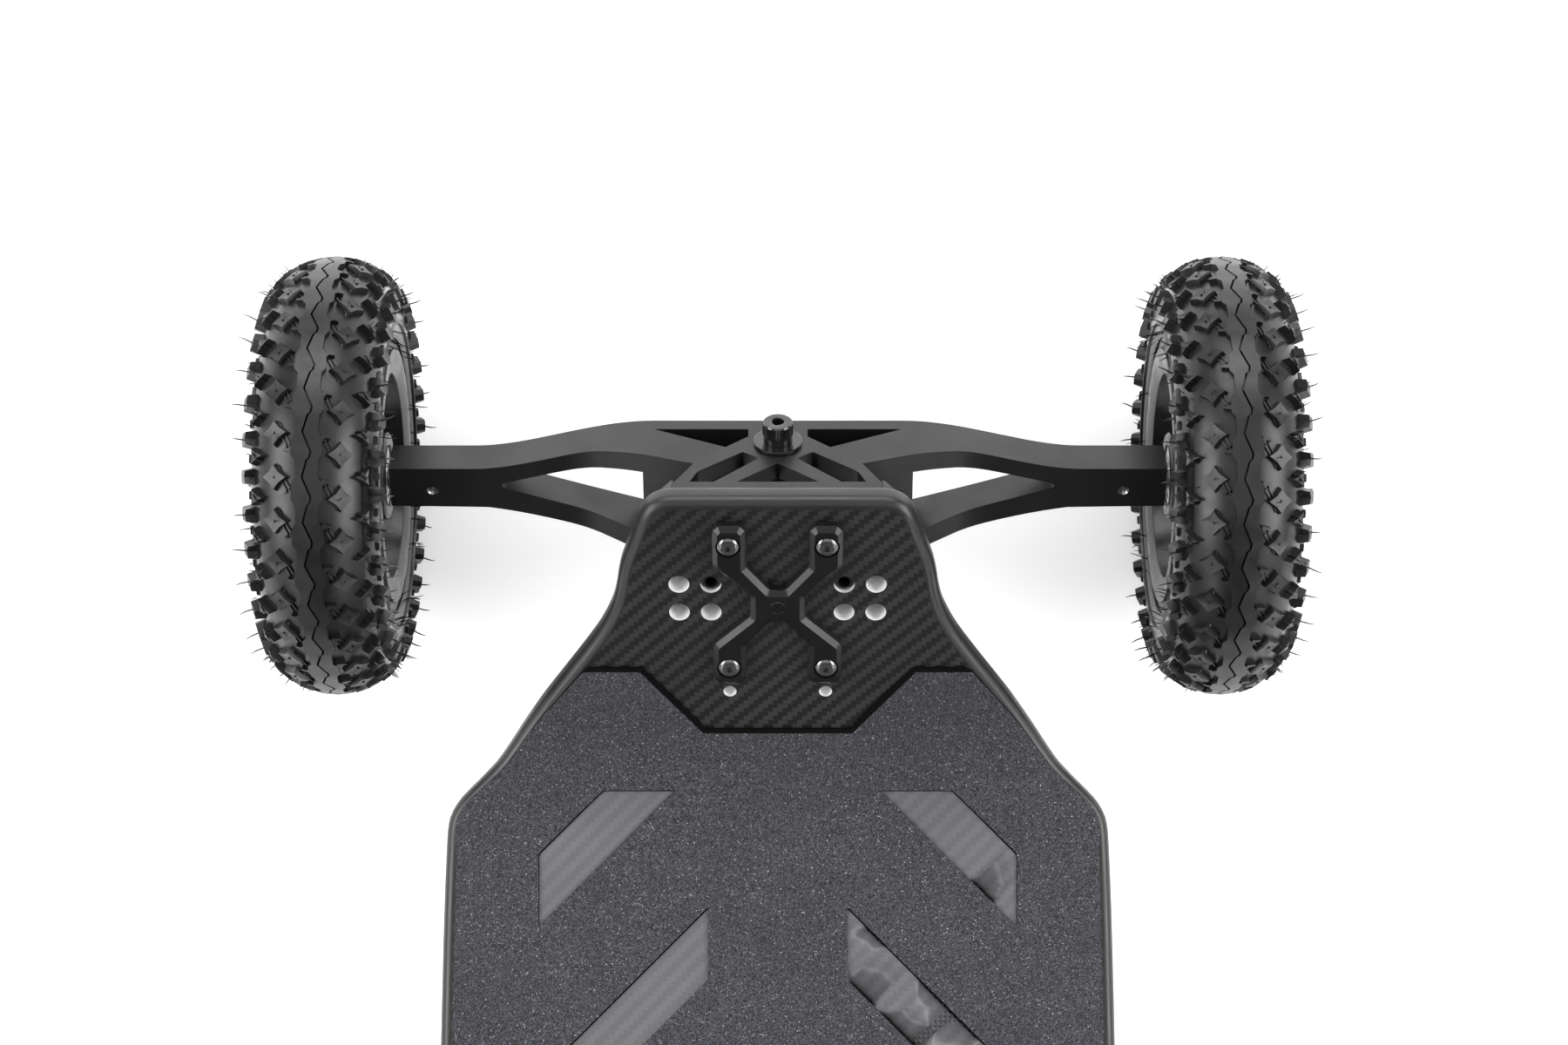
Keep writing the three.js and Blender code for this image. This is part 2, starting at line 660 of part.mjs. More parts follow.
function makeDrive({ name, truck, end }, side) {
  const prefix = `${name}_${sideName(name, side)}_`;
  const drive = new THREE.Group();
  truck.add(drive);
  const flip = (solid) => (side > 0 ? solid : solid.mirror([1, 0, 0]));
  const shaftAt = [MOTOR_DISTANCE, 0];
  const MOUNT_IN = 138;
  const MOUNT_OUT = 146;

  const gap = BAR_HALF_HEIGHT + FIT;
  const plateShape = new THREE.Shape();
  plateShape.moveTo(0, 22);
  plateShape.lineTo(-18, 22);
  plateShape.lineTo(-22, 18);
  plateShape.lineTo(-22, -18);
  plateShape.lineTo(-18, -22);
  plateShape.lineTo(0, -22);
  plateShape.absarc(MOTOR_DISTANCE, 0, 27, -1.45, 1.45, false);
  const plate = cut(
    slabAlongX(plateShape, MOUNT_IN, MOUNT_OUT),
    box([MOUNT_IN - 1, -gap, -gap], [MOUNT_OUT + 1, gap, gap]),
    rod("x", 7, MOUNT_IN - 1, MOUNT_OUT + 1, shaftAt),
  );
  add(drive, prefix + "motor_mount", flip(plate), anodised);

  const stator = cut(
    join(
      rod("x", 26.5, 70, 132, shaftAt, 16),
      rod("x", 31, 131, MOUNT_IN - FIT, shaftAt, 16),
    ),
    rod("x", 6, 60, 140, shaftAt),
  );
  add(drive, prefix + "motor_stator", flip(stator), copper);

  const bell = join(
    cut(rod("x", MOTOR_RADIUS, 58, 129, shaftAt, 20), rod("x", 28.5, 63, 140, shaftAt, 16)),
    rod("x", 5, 60, 169, shaftAt),
  );
  add(drive, prefix + "motor_bell", flip(bell), anodised);

  const pulleyFrom = BELT_IN - 2;
  const pulleyTo = BELT_IN + BELT_WIDTH + 2;
  const flangeWidth = 1.4;
  const small = turned(
    [
      [pulleyFrom, 5 + FIT],
      [pulleyTo, 5 + FIT],
      [pulleyTo, MOTOR_PULLEY_RADIUS + 1.6],
      [pulleyTo - flangeWidth, MOTOR_PULLEY_RADIUS + 1.6],
      [pulleyTo - flangeWidth, MOTOR_PULLEY_RADIUS],
      [pulleyFrom, MOTOR_PULLEY_RADIUS],
    ],
    16,
  );
  const smallAtShaft = small.translate([0, MOTOR_DISTANCE, 0]);
  add(drive, prefix + "motor_pulley", flip(smallAtShaft), steel);

  const outer = slabAlongX(beltLoop(BELT_GAP + BELT_THICKNESS), BELT_IN, BELT_IN + BELT_WIDTH);
  const inner = slabAlongX(beltLoop(BELT_GAP), BELT_IN - 1, BELT_IN + BELT_WIDTH + 1);
  add(drive, prefix + "belt", flip(cut(outer, inner)), rubber);

  // The wheel pulley turns with the wheel, so it is placed level like the wheel.
  const hubFace = TRACK / 2 + 4;
  const barrelEnd = TRACK / 2 - HUB.half - 2 * FIT;
  const big = turned([
    [pulleyFrom, 40],
    [pulleyTo - 6, 40],
    [pulleyTo - 6, 16],
    [barrelEnd, 16],
    [barrelEnd, HUB.barrel + 1],
    [hubFace - FIT, HUB.barrel + 1],
    [hubFace - FIT, 34],
    [pulleyTo, 34],
    [pulleyTo, WHEEL_PULLEY_RADIUS + 1.8],
    [pulleyTo - flangeWidth, WHEEL_PULLEY_RADIUS + 1.8],
    [pulleyTo - flangeWidth, WHEEL_PULLEY_RADIUS],
    [pulleyFrom, WHEEL_PULLEY_RADIUS],
  ]);
  const pulley = new THREE.Group();
  pulley.position.set(0, WHEELBASE / 2, WHEEL_RADIUS);
  end.add(pulley);
  add(pulley, prefix + "wheel_pulley", flip(big), anodised);
}

// ---- Battery enclosure --------------------------------------------------------------
const deckUnderside = deckFlatTop - DECK_THICKNESS;
const gasketTop = deckUnderside - FIT;
const trayTop = gasketTop - GASKET - FIT;
const trayBottom = trayTop - ENCLOSURE.height;

function trayOutline(inset, corner) {
  const x = ENCLOSURE.width / 2 - inset;
  const y = ENCLOSURE.length / 2 - inset;
  return polygon(
    bothSides([
      [x - corner, -y],
      [x, -y + corner],
      [x, y - corner],
      [x - corner, y],
    ]),
  );
}

const BUTTON = { y: -150, radius: 7, travel: 1.2 };
const SOCKET = { y: -190, half: 10, deep: 12, hole: 6 };
const sidePieceZ = trayTop - ENCLOSURE.height / 2;

function makeEnclosure() {
  const { wall } = ENCLOSURE;
  const side = ENCLOSURE.width / 2;
  const tray = cut(
    slab(trayOutline(0, 22), trayBottom, trayTop),
    slab(trayOutline(wall, 21), trayBottom + wall, trayTop + 5),
    rod("x", BUTTON.radius + 1, side - 10, side + 5, [BUTTON.y, sidePieceZ]),
    rod("y", 7, -ENCLOSURE.length / 2 - 5, -ENCLOSURE.length / 2 + 8, [0, sidePieceZ], 8),
  );
  add(board, "enclosure", tray, carbon);
  const seal = cut(
    slab(trayOutline(0.5, 22), gasketTop - GASKET, gasketTop),
    slab(trayOutline(wall + 3, 20), gasketTop - 5, gasketTop + 5),
  );
  add(board, "enclosure_gasket", seal, rubber);
  const inside = trayBottom + wall + FIT;
  add(board, "battery_pack", box([-85, -70, inside], [85, 230, inside + 38]), plastic);
  add(board, "motor_controller", box([-60, -225, inside], [60, -95, inside + 30]), anodised);

  const plunger = join(
    rod("x", BUTTON.radius, side - 6, side + 2.5, [BUTTON.y, sidePieceZ]),
    rod("x", 3, side - 14, side - 5, [BUTTON.y, sidePieceZ], 8),
  );
  add(board, "power_button", plunger, plastic);

  const low = sidePieceZ - SOCKET.half;
  const high = sidePieceZ + SOCKET.half;
  const socketFace = side + FIT + SOCKET.deep;
  const socket = cut(
    box([side + FIT, SOCKET.y - SOCKET.half, low], [socketFace, SOCKET.y + SOCKET.half, high]),
    box(
      [side + 3, SOCKET.y - SOCKET.hole, sidePieceZ - SOCKET.hole],
      [socketFace + 1, SOCKET.y + SOCKET.hole, sidePieceZ + SOCKET.hole],
    ),
  );
  add(board, "charge_socket", socket, plastic);
  const capFace = socketFace + FIT;
  const cap = box([capFace, SOCKET.y - SOCKET.half, low], [capFace + 2.5, SOCKET.y + SOCKET.half, high + 3]);
  add(board, "charge_cap", cap, rubber);

  const back = -ENCLOSURE.length / 2 - FIT;
  const gland = cut(
    join(
      rod("y", 10, back - 8, back, [0, sidePieceZ], 6),
      rod("y", 7.5, back - 18, back - 7, [0, sidePieceZ]),
    ),
    rod("y", 4, back - 20, back - 2, [0, sidePieceZ], 12),
  );
  add(board, "cable_gland", gland, plastic);
}

// ---- Assembly -----------------------------------------------------------------------
makeDeck();
makeGrip();
makeEnclosure();
for (const name of ["front", "rear"]) {
  const frames = endFrames(name);
  makeTopPlate(frames);
  makeBaseplate(frames);
  makeKingpin(frames);
  makeHanger(frames);
  makeSprings(frames);
  makeAxles(frames);
  for (const side of [-1, 1]) {
    makeWheel(frames, side);
    if (name === "rear") makeDrive(frames, side);
  }
}

export default board;
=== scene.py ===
"""Looks of the all-terrain electric skateboard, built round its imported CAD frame.

Sizes in the helpers are millimetres in a local frame and become metres as each mesh is made.
A truck's own frame has its origin at the middle of the axle, y along the kingpin and z square
to the deck's tip; the rear truck is the front one turned half round.
"""

import json
import math
import random

import bmesh
import bpy
import numpy as np
from mathutils import Matrix, Vector
from mathutils.geometry import delaunay_2d_cdt


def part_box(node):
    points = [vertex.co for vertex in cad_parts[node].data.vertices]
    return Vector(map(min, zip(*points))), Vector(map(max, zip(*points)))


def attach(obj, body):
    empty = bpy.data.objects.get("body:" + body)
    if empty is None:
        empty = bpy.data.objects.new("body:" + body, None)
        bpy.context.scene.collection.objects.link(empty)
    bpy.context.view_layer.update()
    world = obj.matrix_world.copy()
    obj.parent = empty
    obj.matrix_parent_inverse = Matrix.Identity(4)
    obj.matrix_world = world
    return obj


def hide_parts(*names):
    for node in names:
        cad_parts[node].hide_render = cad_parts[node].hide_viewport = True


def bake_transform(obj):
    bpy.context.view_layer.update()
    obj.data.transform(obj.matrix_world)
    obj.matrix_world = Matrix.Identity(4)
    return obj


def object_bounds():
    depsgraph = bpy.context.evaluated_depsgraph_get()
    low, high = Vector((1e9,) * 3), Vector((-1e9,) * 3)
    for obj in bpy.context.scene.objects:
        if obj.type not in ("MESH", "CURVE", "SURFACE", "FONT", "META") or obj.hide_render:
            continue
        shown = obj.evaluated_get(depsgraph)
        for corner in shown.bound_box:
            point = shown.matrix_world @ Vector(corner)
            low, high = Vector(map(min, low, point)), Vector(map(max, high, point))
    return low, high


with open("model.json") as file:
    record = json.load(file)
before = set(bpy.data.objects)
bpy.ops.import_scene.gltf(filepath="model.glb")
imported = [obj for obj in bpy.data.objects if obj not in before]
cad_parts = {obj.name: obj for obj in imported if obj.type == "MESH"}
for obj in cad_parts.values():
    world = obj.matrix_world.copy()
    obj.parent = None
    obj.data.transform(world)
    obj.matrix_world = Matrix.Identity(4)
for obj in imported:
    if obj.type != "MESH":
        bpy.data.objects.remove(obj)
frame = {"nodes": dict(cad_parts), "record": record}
cad_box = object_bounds()
random.seed(7)

JOINTS = {joint["name"]: joint for joint in frame["record"]["behaviour"]["joints"]}


def middle(node):
    low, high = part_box(node)
    return (Vector(low) + Vector(high)) / 2 * 1000


AXLE = middle("front_right_tyre").y
AXLE_HEIGHT = middle("front_right_tyre").z
WHEEL_X = middle("front_right_tyre").x
TIP_ANGLE = math.atan2(JOINTS["front_steer"]["axis"][2], JOINTS["front_steer"]["axis"][1])
ENDS = ("front", "rear")
SIDES = (("left", -1), ("right", 1))


def facing(sign):
    """Leaves a piece drawn for +X as it is, or mirrors it to the other side."""
    return Matrix.Identity(4) if sign > 0 else Matrix.Scale(-1, 4, (1, 0, 0))


def truck_matrix(end):
    turn = Matrix.Rotation(0 if end == "front" else math.pi, 4, "Z")
    place = Matrix.Translation((0, AXLE, AXLE_HEIGHT))
    return turn @ place @ Matrix.Rotation(TIP_ANGLE, 4, "X")


def side_of(end, side):
    """Sign of x in a truck's own frame for the board's left (-1) or right (1)."""
    return side if end == "front" else -side


# ---- Materials ----------------------------------------------------------------------
class Nodes:
    """A material's node tree, with short calls to add nodes to it."""

    def __init__(self, name):
        self.material = bpy.data.materials.new(name)
        self.material.use_nodes = True
        self.tree = self.material.node_tree
        self.shader = self.tree.nodes["Principled BSDF"]

    def add(self, kind, **settings):
        node = self.tree.nodes.new(kind)
        for key, value in settings.items():
            setattr(node, key, value)
        return node

    def link(self, source, target):
        self.tree.links.new(source, target)

    def feed(self, socket, value):
        if isinstance(value, (int, float, tuple)):
            socket.default_value = value
        else:
            self.link(value, socket)

    def math(self, operation, a, b=0.0, c=0.0):
        node = self.add("ShaderNodeMath", operation=operation)
        for socket, value in zip(node.inputs, (a, b, c)):
            self.feed(socket, value)
        return node.outputs[0]

    def mix(self, factor, a, b):
        node = self.add("ShaderNodeMix", data_type="RGBA")
        self.feed(node.inputs[0], factor)
        self.feed(node.inputs[6], a)
        self.feed(node.inputs[7], b)
        return node.outputs[2]

    def ramp(self, value, low, high, out_low=0.0, out_high=1.0):
        node = self.add("ShaderNodeMapRange")
        for socket, item in zip(node.inputs, (value, low, high, out_low, out_high)):
            self.feed(socket, item)
        return node.outputs[0]

    def noise(self, scale, detail=2.0, stretch=(1, 1, 1)):
        place = self.add("ShaderNodeTexCoord").outputs["Object"]
        if stretch != (1, 1, 1):
            mapping = self.add("ShaderNodeMapping")
            mapping.inputs["Scale"].default_value = stretch
            self.link(place, mapping.inputs[0])
            place = mapping.outputs[0]
        node = self.add("ShaderNodeTexNoise")
        self.link(place, node.inputs["Vector"])
        node.inputs["Scale"].default_value = scale
        node.inputs["Detail"].default_value = detail
        return node.outputs["Fac"]

    def bump(self, height, distance, strength=1.0):
        node = self.add("ShaderNodeBump")
        node.inputs["Strength"].default_value = strength
        node.inputs["Distance"].default_value = distance
        self.link(height, node.inputs["Height"])
        self.link(node.outputs[0], self.shader.inputs["Normal"])

    def set(self, **values):
        for key, value in values.items():
            self.feed(self.shader.inputs[key.replace("_", " ")], value)


def grey(value, blue=0.0):
    return (value, value, value * (1 + blue), 1)


def worn_paint(name, base, roughness, metallic=0.0, grain=900, grain_depth=0.00003, shine=0.5):
    """A plain finish with faint blotches, uneven sheen and fine grain."""
    n = Nodes(name)
    darker, lighter = (tuple(v * scale for v in base[:3]) + (1,) for scale in (0.8, 1.25))
    n.set(
        Base_Color=n.mix(n.noise(18, 4), darker, lighter),
        Roughness=n.ramp(n.noise(60, 3), 0.3, 0.7, roughness - 0.06, roughness + 0.06),
        Metallic=metallic,
        Specular_IOR_Level=shine,
    )
    n.bump(n.noise(grain, 2), grain_depth, 0.5)
    return n.material


def carbon_weave(name, base, contrast, roughness, coat_roughness):
    """Two-by-two twill under a clear coat; the UV map holds the lay of the cloth in metres."""
    n = Nodes(name)
    uv = n.add("ShaderNodeUVMap", uv_map="weave")
    split = n.add("ShaderNodeSeparateXYZ")
    n.link(uv.outputs[0], split.inputs[0])
    tow = 0.00212  # width of one bundle of fibres
    across = n.math("DIVIDE", split.outputs[0], tow)
    along = n.math("DIVIDE", split.outputs[1], tow)
    column, row = n.math("FLOOR", across), n.math("FLOOR", along)
    step = n.math("FLOORED_MODULO", n.math("SUBTRACT", column, row), 4.0)
    over = n.math("LESS_THAN", step, 1.5)
    fibre = n.add("ShaderNodeTexNoise")
    stretch = n.add("ShaderNodeCombineXYZ")
    n.feed(stretch.inputs[0], n.math("MULTIPLY", across, n.math("ADD", n.math("MULTIPLY", over, 5.0), 0.3)))
    n.feed(
        stretch.inputs[1], n.math("MULTIPLY", along, n.math("SUBTRACT", 5.3, n.math("MULTIPLY", over, 5.0)))
    )
    n.link(stretch.outputs[0], fibre.inputs["Vector"])
    fibre.inputs["Scale"].default_value = 2.5
    shade = n.math(
        "MULTIPLY", n.ramp(fibre.outputs["Fac"], 0.25, 0.75, 0.85, 1.15),
        n.ramp(n.noise(9, 3), 0.3, 0.7, 0.85, 1.2)
    )
    dark, light = base * (1 - contrast), base * (1 + contrast)
    tone = n.math("MULTIPLY", n.ramp(over, 0.0, 1.0, light, dark), shade)
    colour = n.add("ShaderNodeCombineColor")
    for i, tint in enumerate((0.98, 0.96, 1.03)):
        n.feed(colour.inputs[i], n.math("MULTIPLY", tone, tint))
    bulge = n.math(
        "MULTIPLY",
        n.math("SINE", n.math("MULTIPLY", n.math("FRACT", across), math.pi)),
        n.math("SINE", n.math("MULTIPLY", n.math("FRACT", along), math.pi)),
    )
    n.set(
        Base_Color=colour.outputs[0],
        Roughness=n.ramp(over, 0.0, 1.0, roughness, roughness + 0.12),
        Metallic=0.1,
        Specular_IOR_Level=0.2,
        Coat_Weight=1.0,
        Coat_Roughness=coat_roughness,
    )
    n.bump(bulge, 0.00006, 0.35)
    return n.material


def grit_sheet():
    n = Nodes("grit_sheet")
    place = n.add("ShaderNodeTexCoord").outputs["Object"]
    grain = n.add("ShaderNodeTexVoronoi")
    grain.inputs["Scale"].default_value = 2300
    n.link(place, grain.inputs["Vector"])
    tone = n.add("ShaderNodeSeparateColor")
    n.link(grain.outputs["Color"], tone.inputs[0])
    # the few grit cells painted near-white are painted glints of light on the grit
    painted_glint = n.ramp(tone.outputs[0], 0.975, 1.0, 0.0, 0.8)
    drift = n.ramp(n.noise(30, 4), 0.3, 0.7, 0.9, 1.12)
    speck = n.math("MULTIPLY", n.math("POWER", tone.outputs[1], 1.6), drift)
    dull = n.mix(speck, grey(0.001, 0.2), grey(0.074, 0.25))
    n.set(
        Base_Color=n.mix(painted_glint, dull, grey(0.42, 0.03)),
        Roughness=n.ramp(tone.outputs[2], 0.0, 1.0, 0.5, 0.95),
    )
    n.bump(grain.outputs["Distance"], 0.0005, 0.7)
    return n.material


def tyre_rubber(name, smoothest, roughest, grain):
    n = Nodes(name)
    n.set(
        Base_Color=n.mix(n.noise(25, 5), grey(0.004), grey(0.010, 0.04)),
        Roughness=n.ramp(n.noise(140, 4), 0.3, 0.7, smoothest, roughest),
        Specular_IOR_Level=0.5,
    )
    n.bump(n.noise(1600, 3), 0.00005, grain)
    return n.material


CARBON = carbon_weave("carbon_weave", 0.015, 0.68, 0.42, 0.10)
# a lighter copy of the carbon weave for the bare windows: its lightness is a painted sheen of overhead
# light
CARBON_PAINTED_SHEEN = carbon_weave("carbon_painted_sheen", 0.098, 0.10, 0.5, 0.34)
RESIN_EDGE = worn_paint("resin_edge", (0.013, 0.012, 0.0115, 1), 0.36)
# black backing for the grip's cut sides, also used for the painted shade line along the notch and the
# painted shadow lines round the bare windows
GRIP_BACKING_AND_SHADE = worn_paint("grip_backing_and_shade", grey(0.002), 0.9, shine=0.08)
GRIT = grit_sheet()
ANODISED = worn_paint("anodised_black", grey(0.008, 0.02), 0.38, 0.25, grain=1400, shine=0.55)
TYRE = tyre_rubber("tyre_rubber", 0.30, 0.42, 0.6)
SIDEWALL = tyre_rubber("sidewall_rubber", 0.16, 0.26, 0.25)
HUB_PAINT = worn_paint("hub_black", grey(0.006), 0.3)
PLASTIC = worn_paint("moulded_black", grey(0.004), 0.34, grain=1800, shine=0.38)
RUBBER = worn_paint("belt_rubber", grey(0.014), 0.62)
# a lighter copy of the black oxide steel for the truck bolts, painted lighter so their heads show brighter
# reflections
BOLT_STEEL_LIT = worn_paint("bolt_steel_lit", grey(0.18), 0.24, 0.9, grain=700)
BLACK_STEEL = worn_paint("black_oxide_steel", grey(0.075), 0.18, 0.9, grain=700)
STEEL = worn_paint("zinc_steel", grey(0.55, 0.02), 0.3, 1.0, grain=700)
SPRING_STEEL = worn_paint("spring_black", grey(0.012), 0.3)
COPPER = worn_paint("winding_copper", (0.55, 0.22, 0.08, 1), 0.35, 0.9)
SHRINK = worn_paint("battery_wrap", (0.02, 0.05, 0.12, 1), 0.35)
# near-white walls for the open holes: painted light seen through the holes
HOLE_WALL_LIGHT = worn_paint("hole_wall_painted_light", grey(0.78), 0.35)


# ---- Mesh helpers -------------------------------------------------------------------
def finish_mesh(name, bm, material, matrix=None, sharp=35, bevel=0.0, segments=2):
    """Turns a bmesh in millimetres into an object in metres."""
    bmesh.ops.remove_doubles(bm, verts=bm.verts, dist=1e-4)
    bmesh.ops.recalc_face_normals(bm, faces=bm.faces)
    mesh = bpy.data.meshes.new(name)
    if matrix is not None:
        bm.transform(matrix)
    bm.transform(Matrix.Scale(0.001, 4))
    bm.to_mesh(mesh)
    bm.free()
    obj = bpy.data.objects.new(name, mesh)
    bpy.context.scene.collection.objects.link(obj)
    mesh.materials.append(material)
    if bevel:
        modifier = obj.modifiers.new("edges", "BEVEL")
        modifier.width = bevel / 1000
        modifier.segments = segments
        modifier.limit_method = "ANGLE"
        modifier.angle_limit = math.radians(32)
        modifier.miter_outer = "MITER_ARC"
        modifier.use_clamp_overlap = True
        modifier.harden_normals = True
    mesh.shade_smooth()
    mesh.set_sharp_from_angle(angle=math.radians(sharp))
    return obj


def prism(points, low, high, axis="z"):
    """A bmesh of an outline drawn in the other two axes (x-y, x-z or y-z)."""
    place = {
        "z": lambda a, b, c: (a, b, c), "y": lambda a, b, c: (a, c, b), "x": lambda a, b, c: (c, a, b)
    }[axis]
    bm = bmesh.new()
    rings = [[bm.verts.new(place(a, b, c)) for a, b in points] for c in (low, high)]
    bm.faces.new(rings[0])
    bm.faces.new(list(reversed(rings[1])))
    for i in range(len(points)):
        j = (i + 1) % len(points)
        bm.faces.new((rings[0][i], rings[0][j], rings[1][j], rings[1][i]))
    bmesh.ops.recalc_face_normals(bm, faces=bm.faces)
    return bm


def lathe(profile, segments=48, wave=None):
    """A bmesh of a closed [x, radius] profile turned round x; wave changes the radius with the turn."""
    bm = bmesh.new()
    rings = []
    for i in range(segments):
        turn = 2 * math.pi * i / segments
        ring = []
        for j, (x, r) in enumerate(profile):
            radius = r + (wave(i, j) if wave else 0)
            ring.append(bm.verts.new((x, radius * math.cos(turn), radius * math.sin(turn))))
        rings.append(ring)
    count = len(profile)
    for i in range(segments):
        a, b = rings[i], rings[(i + 1) % segments]
        for j in range(count):
            k = (j + 1) % count
            bm.faces.new((a[j], a[k], b[k], b[j]))
    bmesh.ops.recalc_face_normals(bm, faces=bm.faces)
    return bm


def merge(target, source, matrix=None):
    """Copies one bmesh into another and frees the copy's source."""
    if matrix is not None:
        source.transform(matrix)
    mesh = bpy.data.meshes.new("part")
    source.to_mesh(mesh)
    source.free()
    target.from_mesh(mesh)
    bpy.data.meshes.remove(mesh)
    return target


def carve(base, *steps):
    """Boolean steps on a bmesh: pairs of an operation and a tool."""
    def as_object(bm):
        mesh = bpy.data.meshes.new("tool")
        bm.to_mesh(mesh)
        bm.free()
        obj = bpy.data.objects.new("tool", mesh)
        bpy.context.scene.collection.objects.link(obj)
        return obj

    body = as_object(base)
    tools = []
    for operation, tool in steps:
        modifier = body.modifiers.new("cut", "BOOLEAN")
        modifier.operation = operation
        modifier.solver = "EXACT"
        modifier.object = as_object(tool)
        tools.append(modifier.object)
    bpy.context.view_layer.update()
    result = body.evaluated_get(bpy.context.evaluated_depsgraph_get())
    bm = bmesh.new()
    bm.from_mesh(result.to_mesh())
    result.to_mesh_clear()
    for obj in [body, *tools]:
        mesh = obj.data
        bpy.data.objects.remove(obj)
        bpy.data.meshes.remove(mesh)
    bmesh.ops.dissolve_limit(bm, angle_limit=math.radians(0.5), verts=bm.verts, edges=bm.edges)
    return bm


def circle(x, y, radius, count=32):
    turns = (2 * math.pi * i / count for i in range(count))
    return [(x + radius * math.cos(t), y + radius * math.sin(t)) for t in turns]


def rod(axis, radius, low, high, centre=(0, 0), count=32):
    return prism(circle(centre[0], centre[1], radius, count), low, high, axis)


def mirrored(points):
    return [(-x, y) for x, y in reversed(points)]


def both_sides(half):
    return [*half, *mirrored(half)]


def bezier(a, b, c, d, count=14):
    out = []
    for i in range(count):
        t = i / count
        u = 1 - t
        out.append(
            tuple(u**3 * a[k] + 3 * u * u * t * b[k] + 3 * u * t * t * c[k] + t**3 * d[k] for k in (0, 1))
        )
    return out


def rounded(points, radius, count=5):
    """An outline with each corner rounded, or each by its own radius."""
    radii = radius if isinstance(radius, (list, tuple)) else [radius] * len(points)
    out = []
    total = len(points)
    for i, point in enumerate(points):
        here = Vector(point)
        back = (Vector(points[i - 1]) - here)
        ahead = (Vector(points[(i + 1) % total]) - here)
        reach = min(radii[i], back.length * 0.45, ahead.length * 0.45)
        if reach < 0.05:
            out.append(tuple(here))
            continue
        start, end = here + back.normalized() * reach, here + ahead.normalized() * reach
        for k in range(count + 1):
            t = k / count
            out.append(tuple(start * (1 - t) ** 2 + here * 2 * t * (1 - t) + end * t * t))
    return out


def place(obj, body, *nodes, slot=None):
    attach(obj, body)
    if nodes:
        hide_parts(*nodes)
    return obj


# ---- Deck ---------------------------------------------------------------------------
DECK_THICKNESS = 12
BEND_RADIUS = 110
DECK_HEIGHT = 102  # top of the tip above the axle, square to the tip
TIP_START, TIP_END = -50, 56.5
tip_cos, tip_sin = math.cos(TIP_ANGLE), math.sin(TIP_ANGLE)
bend_y = AXLE + TIP_START * tip_cos - DECK_HEIGHT * tip_sin
bend_z = AXLE_HEIGHT + TIP_START * tip_sin + DECK_HEIGHT * tip_cos
FLAT_HALF = bend_y - BEND_RADIUS * tip_sin
FLAT_TOP = bend_z - BEND_RADIUS * (1 - tip_cos)
BEND_LENGTH = BEND_RADIUS * TIP_ANGLE
HALF_LENGTH = FLAT_HALF + BEND_LENGTH + TIP_END - TIP_START


def on_deck(x, length, height):
    """The point at a length from the middle along the top surface, raised square to it."""
    along = abs(length)
    turn = min(max(along - FLAT_HALF, 0) / BEND_RADIUS, TIP_ANGLE)
    past = max(along - FLAT_HALF - BEND_LENGTH, 0)
    radius = BEND_RADIUS - height
    y = min(along, FLAT_HALF) + radius * math.sin(turn) + past * math.cos(turn)
    z = FLAT_TOP + BEND_RADIUS - radius * math.cos(turn) + past * math.sin(turn)
    return (x, math.copysign(y, length), z)


def tip_length(k):
    """Length along the deck of a place k along the front tip."""
    return HALF_LENGTH - TIP_END + k


# Half the deck's width at lengths back from its end.
OUTLINE = [
    (9, 57.6), (20, 61.3), (32.5, 65.6), (40, 67.2), (47.5, 68.4), (56, 70.6), (67.5, 75.8), (80, 83.5),
    (97.5, 95.2), (120, 110.3), (138, 122.6), (146, 130.2), (152, 136.6), (157, 141.3), (163, 144.6),
    (172, 145.9),
    (216.5, 147.6), (300, 149.3), (HALF_LENGTH, 150),
]


def half_width(back):
    """Smooth curve through OUTLINE."""
    x = [p[0] for p in OUTLINE]
    if back <= x[0]:
        return OUTLINE[0][1]
    i = min(max(k for k in range(len(x) - 1) if x[k] <= back), len(x) - 2)
    def slope(k):
        lo, hi = max(k - 1, 0), min(k + 1, len(x) - 1)
        return (OUTLINE[hi][1] - OUTLINE[lo][1]) / (x[hi] - x[lo])
    run = x[i + 1] - x[i]
    t = (back - x[i]) / run
    a, b = OUTLINE[i][1], OUTLINE[i + 1][1]
    return ((2 * t**3 - 3 * t**2 + 1) * a + (t**3 - 2 * t**2 + t) * run * slope(i)
            + (-2 * t**3 + 3 * t**2) * b + (t**3 - t**2) * run * slope(i + 1))


def deck_outline():
    """Outline on the laid-flat top surface, from the nose's middle clockwise."""
    corner = bezier((43, 0), (50.5, 0.3), (55, 3.2), (57.6, 9), 10)
    backs = list(np.arange(9, 40, 4)) + list(np.arange(40, 180, 2.5)) + list(
        np.arange(180, HALF_LENGTH, 14)
    )
    quarter = [(0, 0), (22, 0), *corner, *((half_width(b), b) for b in backs)]
    nose = [(x, HALF_LENGTH - back) for x, back in quarter]
    right = nose + [(150, 0)] + [(x, -y) for x, y in reversed(nose)]
    return right + [(-x, y) for x, y in reversed(right[1:-1])]


def offset(points, distance):
    """Moves a clockwise outline inwards."""
    out = []
    total = len(points)
    for i in range(total):
        before, after = Vector(points[i - 1]), Vector(points[(i + 1) % total])
        run = (after - before).normalized()
        out.append((points[i][0] + run.y * distance, points[i][1] - run.x * distance))
    return out


def inside(points, polygon):
    """Which points lie in a polygon."""
    px, py = points[:, 0], points[:, 1]
    hit = np.zeros(len(points), bool)
    for (ax, ay), (bx, by) in zip(polygon, polygon[1:] + polygon[:1]):
        crosses = (ay > py) != (by > py)
        if ay == by:
            continue
        hit ^= crosses & (px < (bx - ax) * (py - ay) / (by - ay) + ax)
    return hit


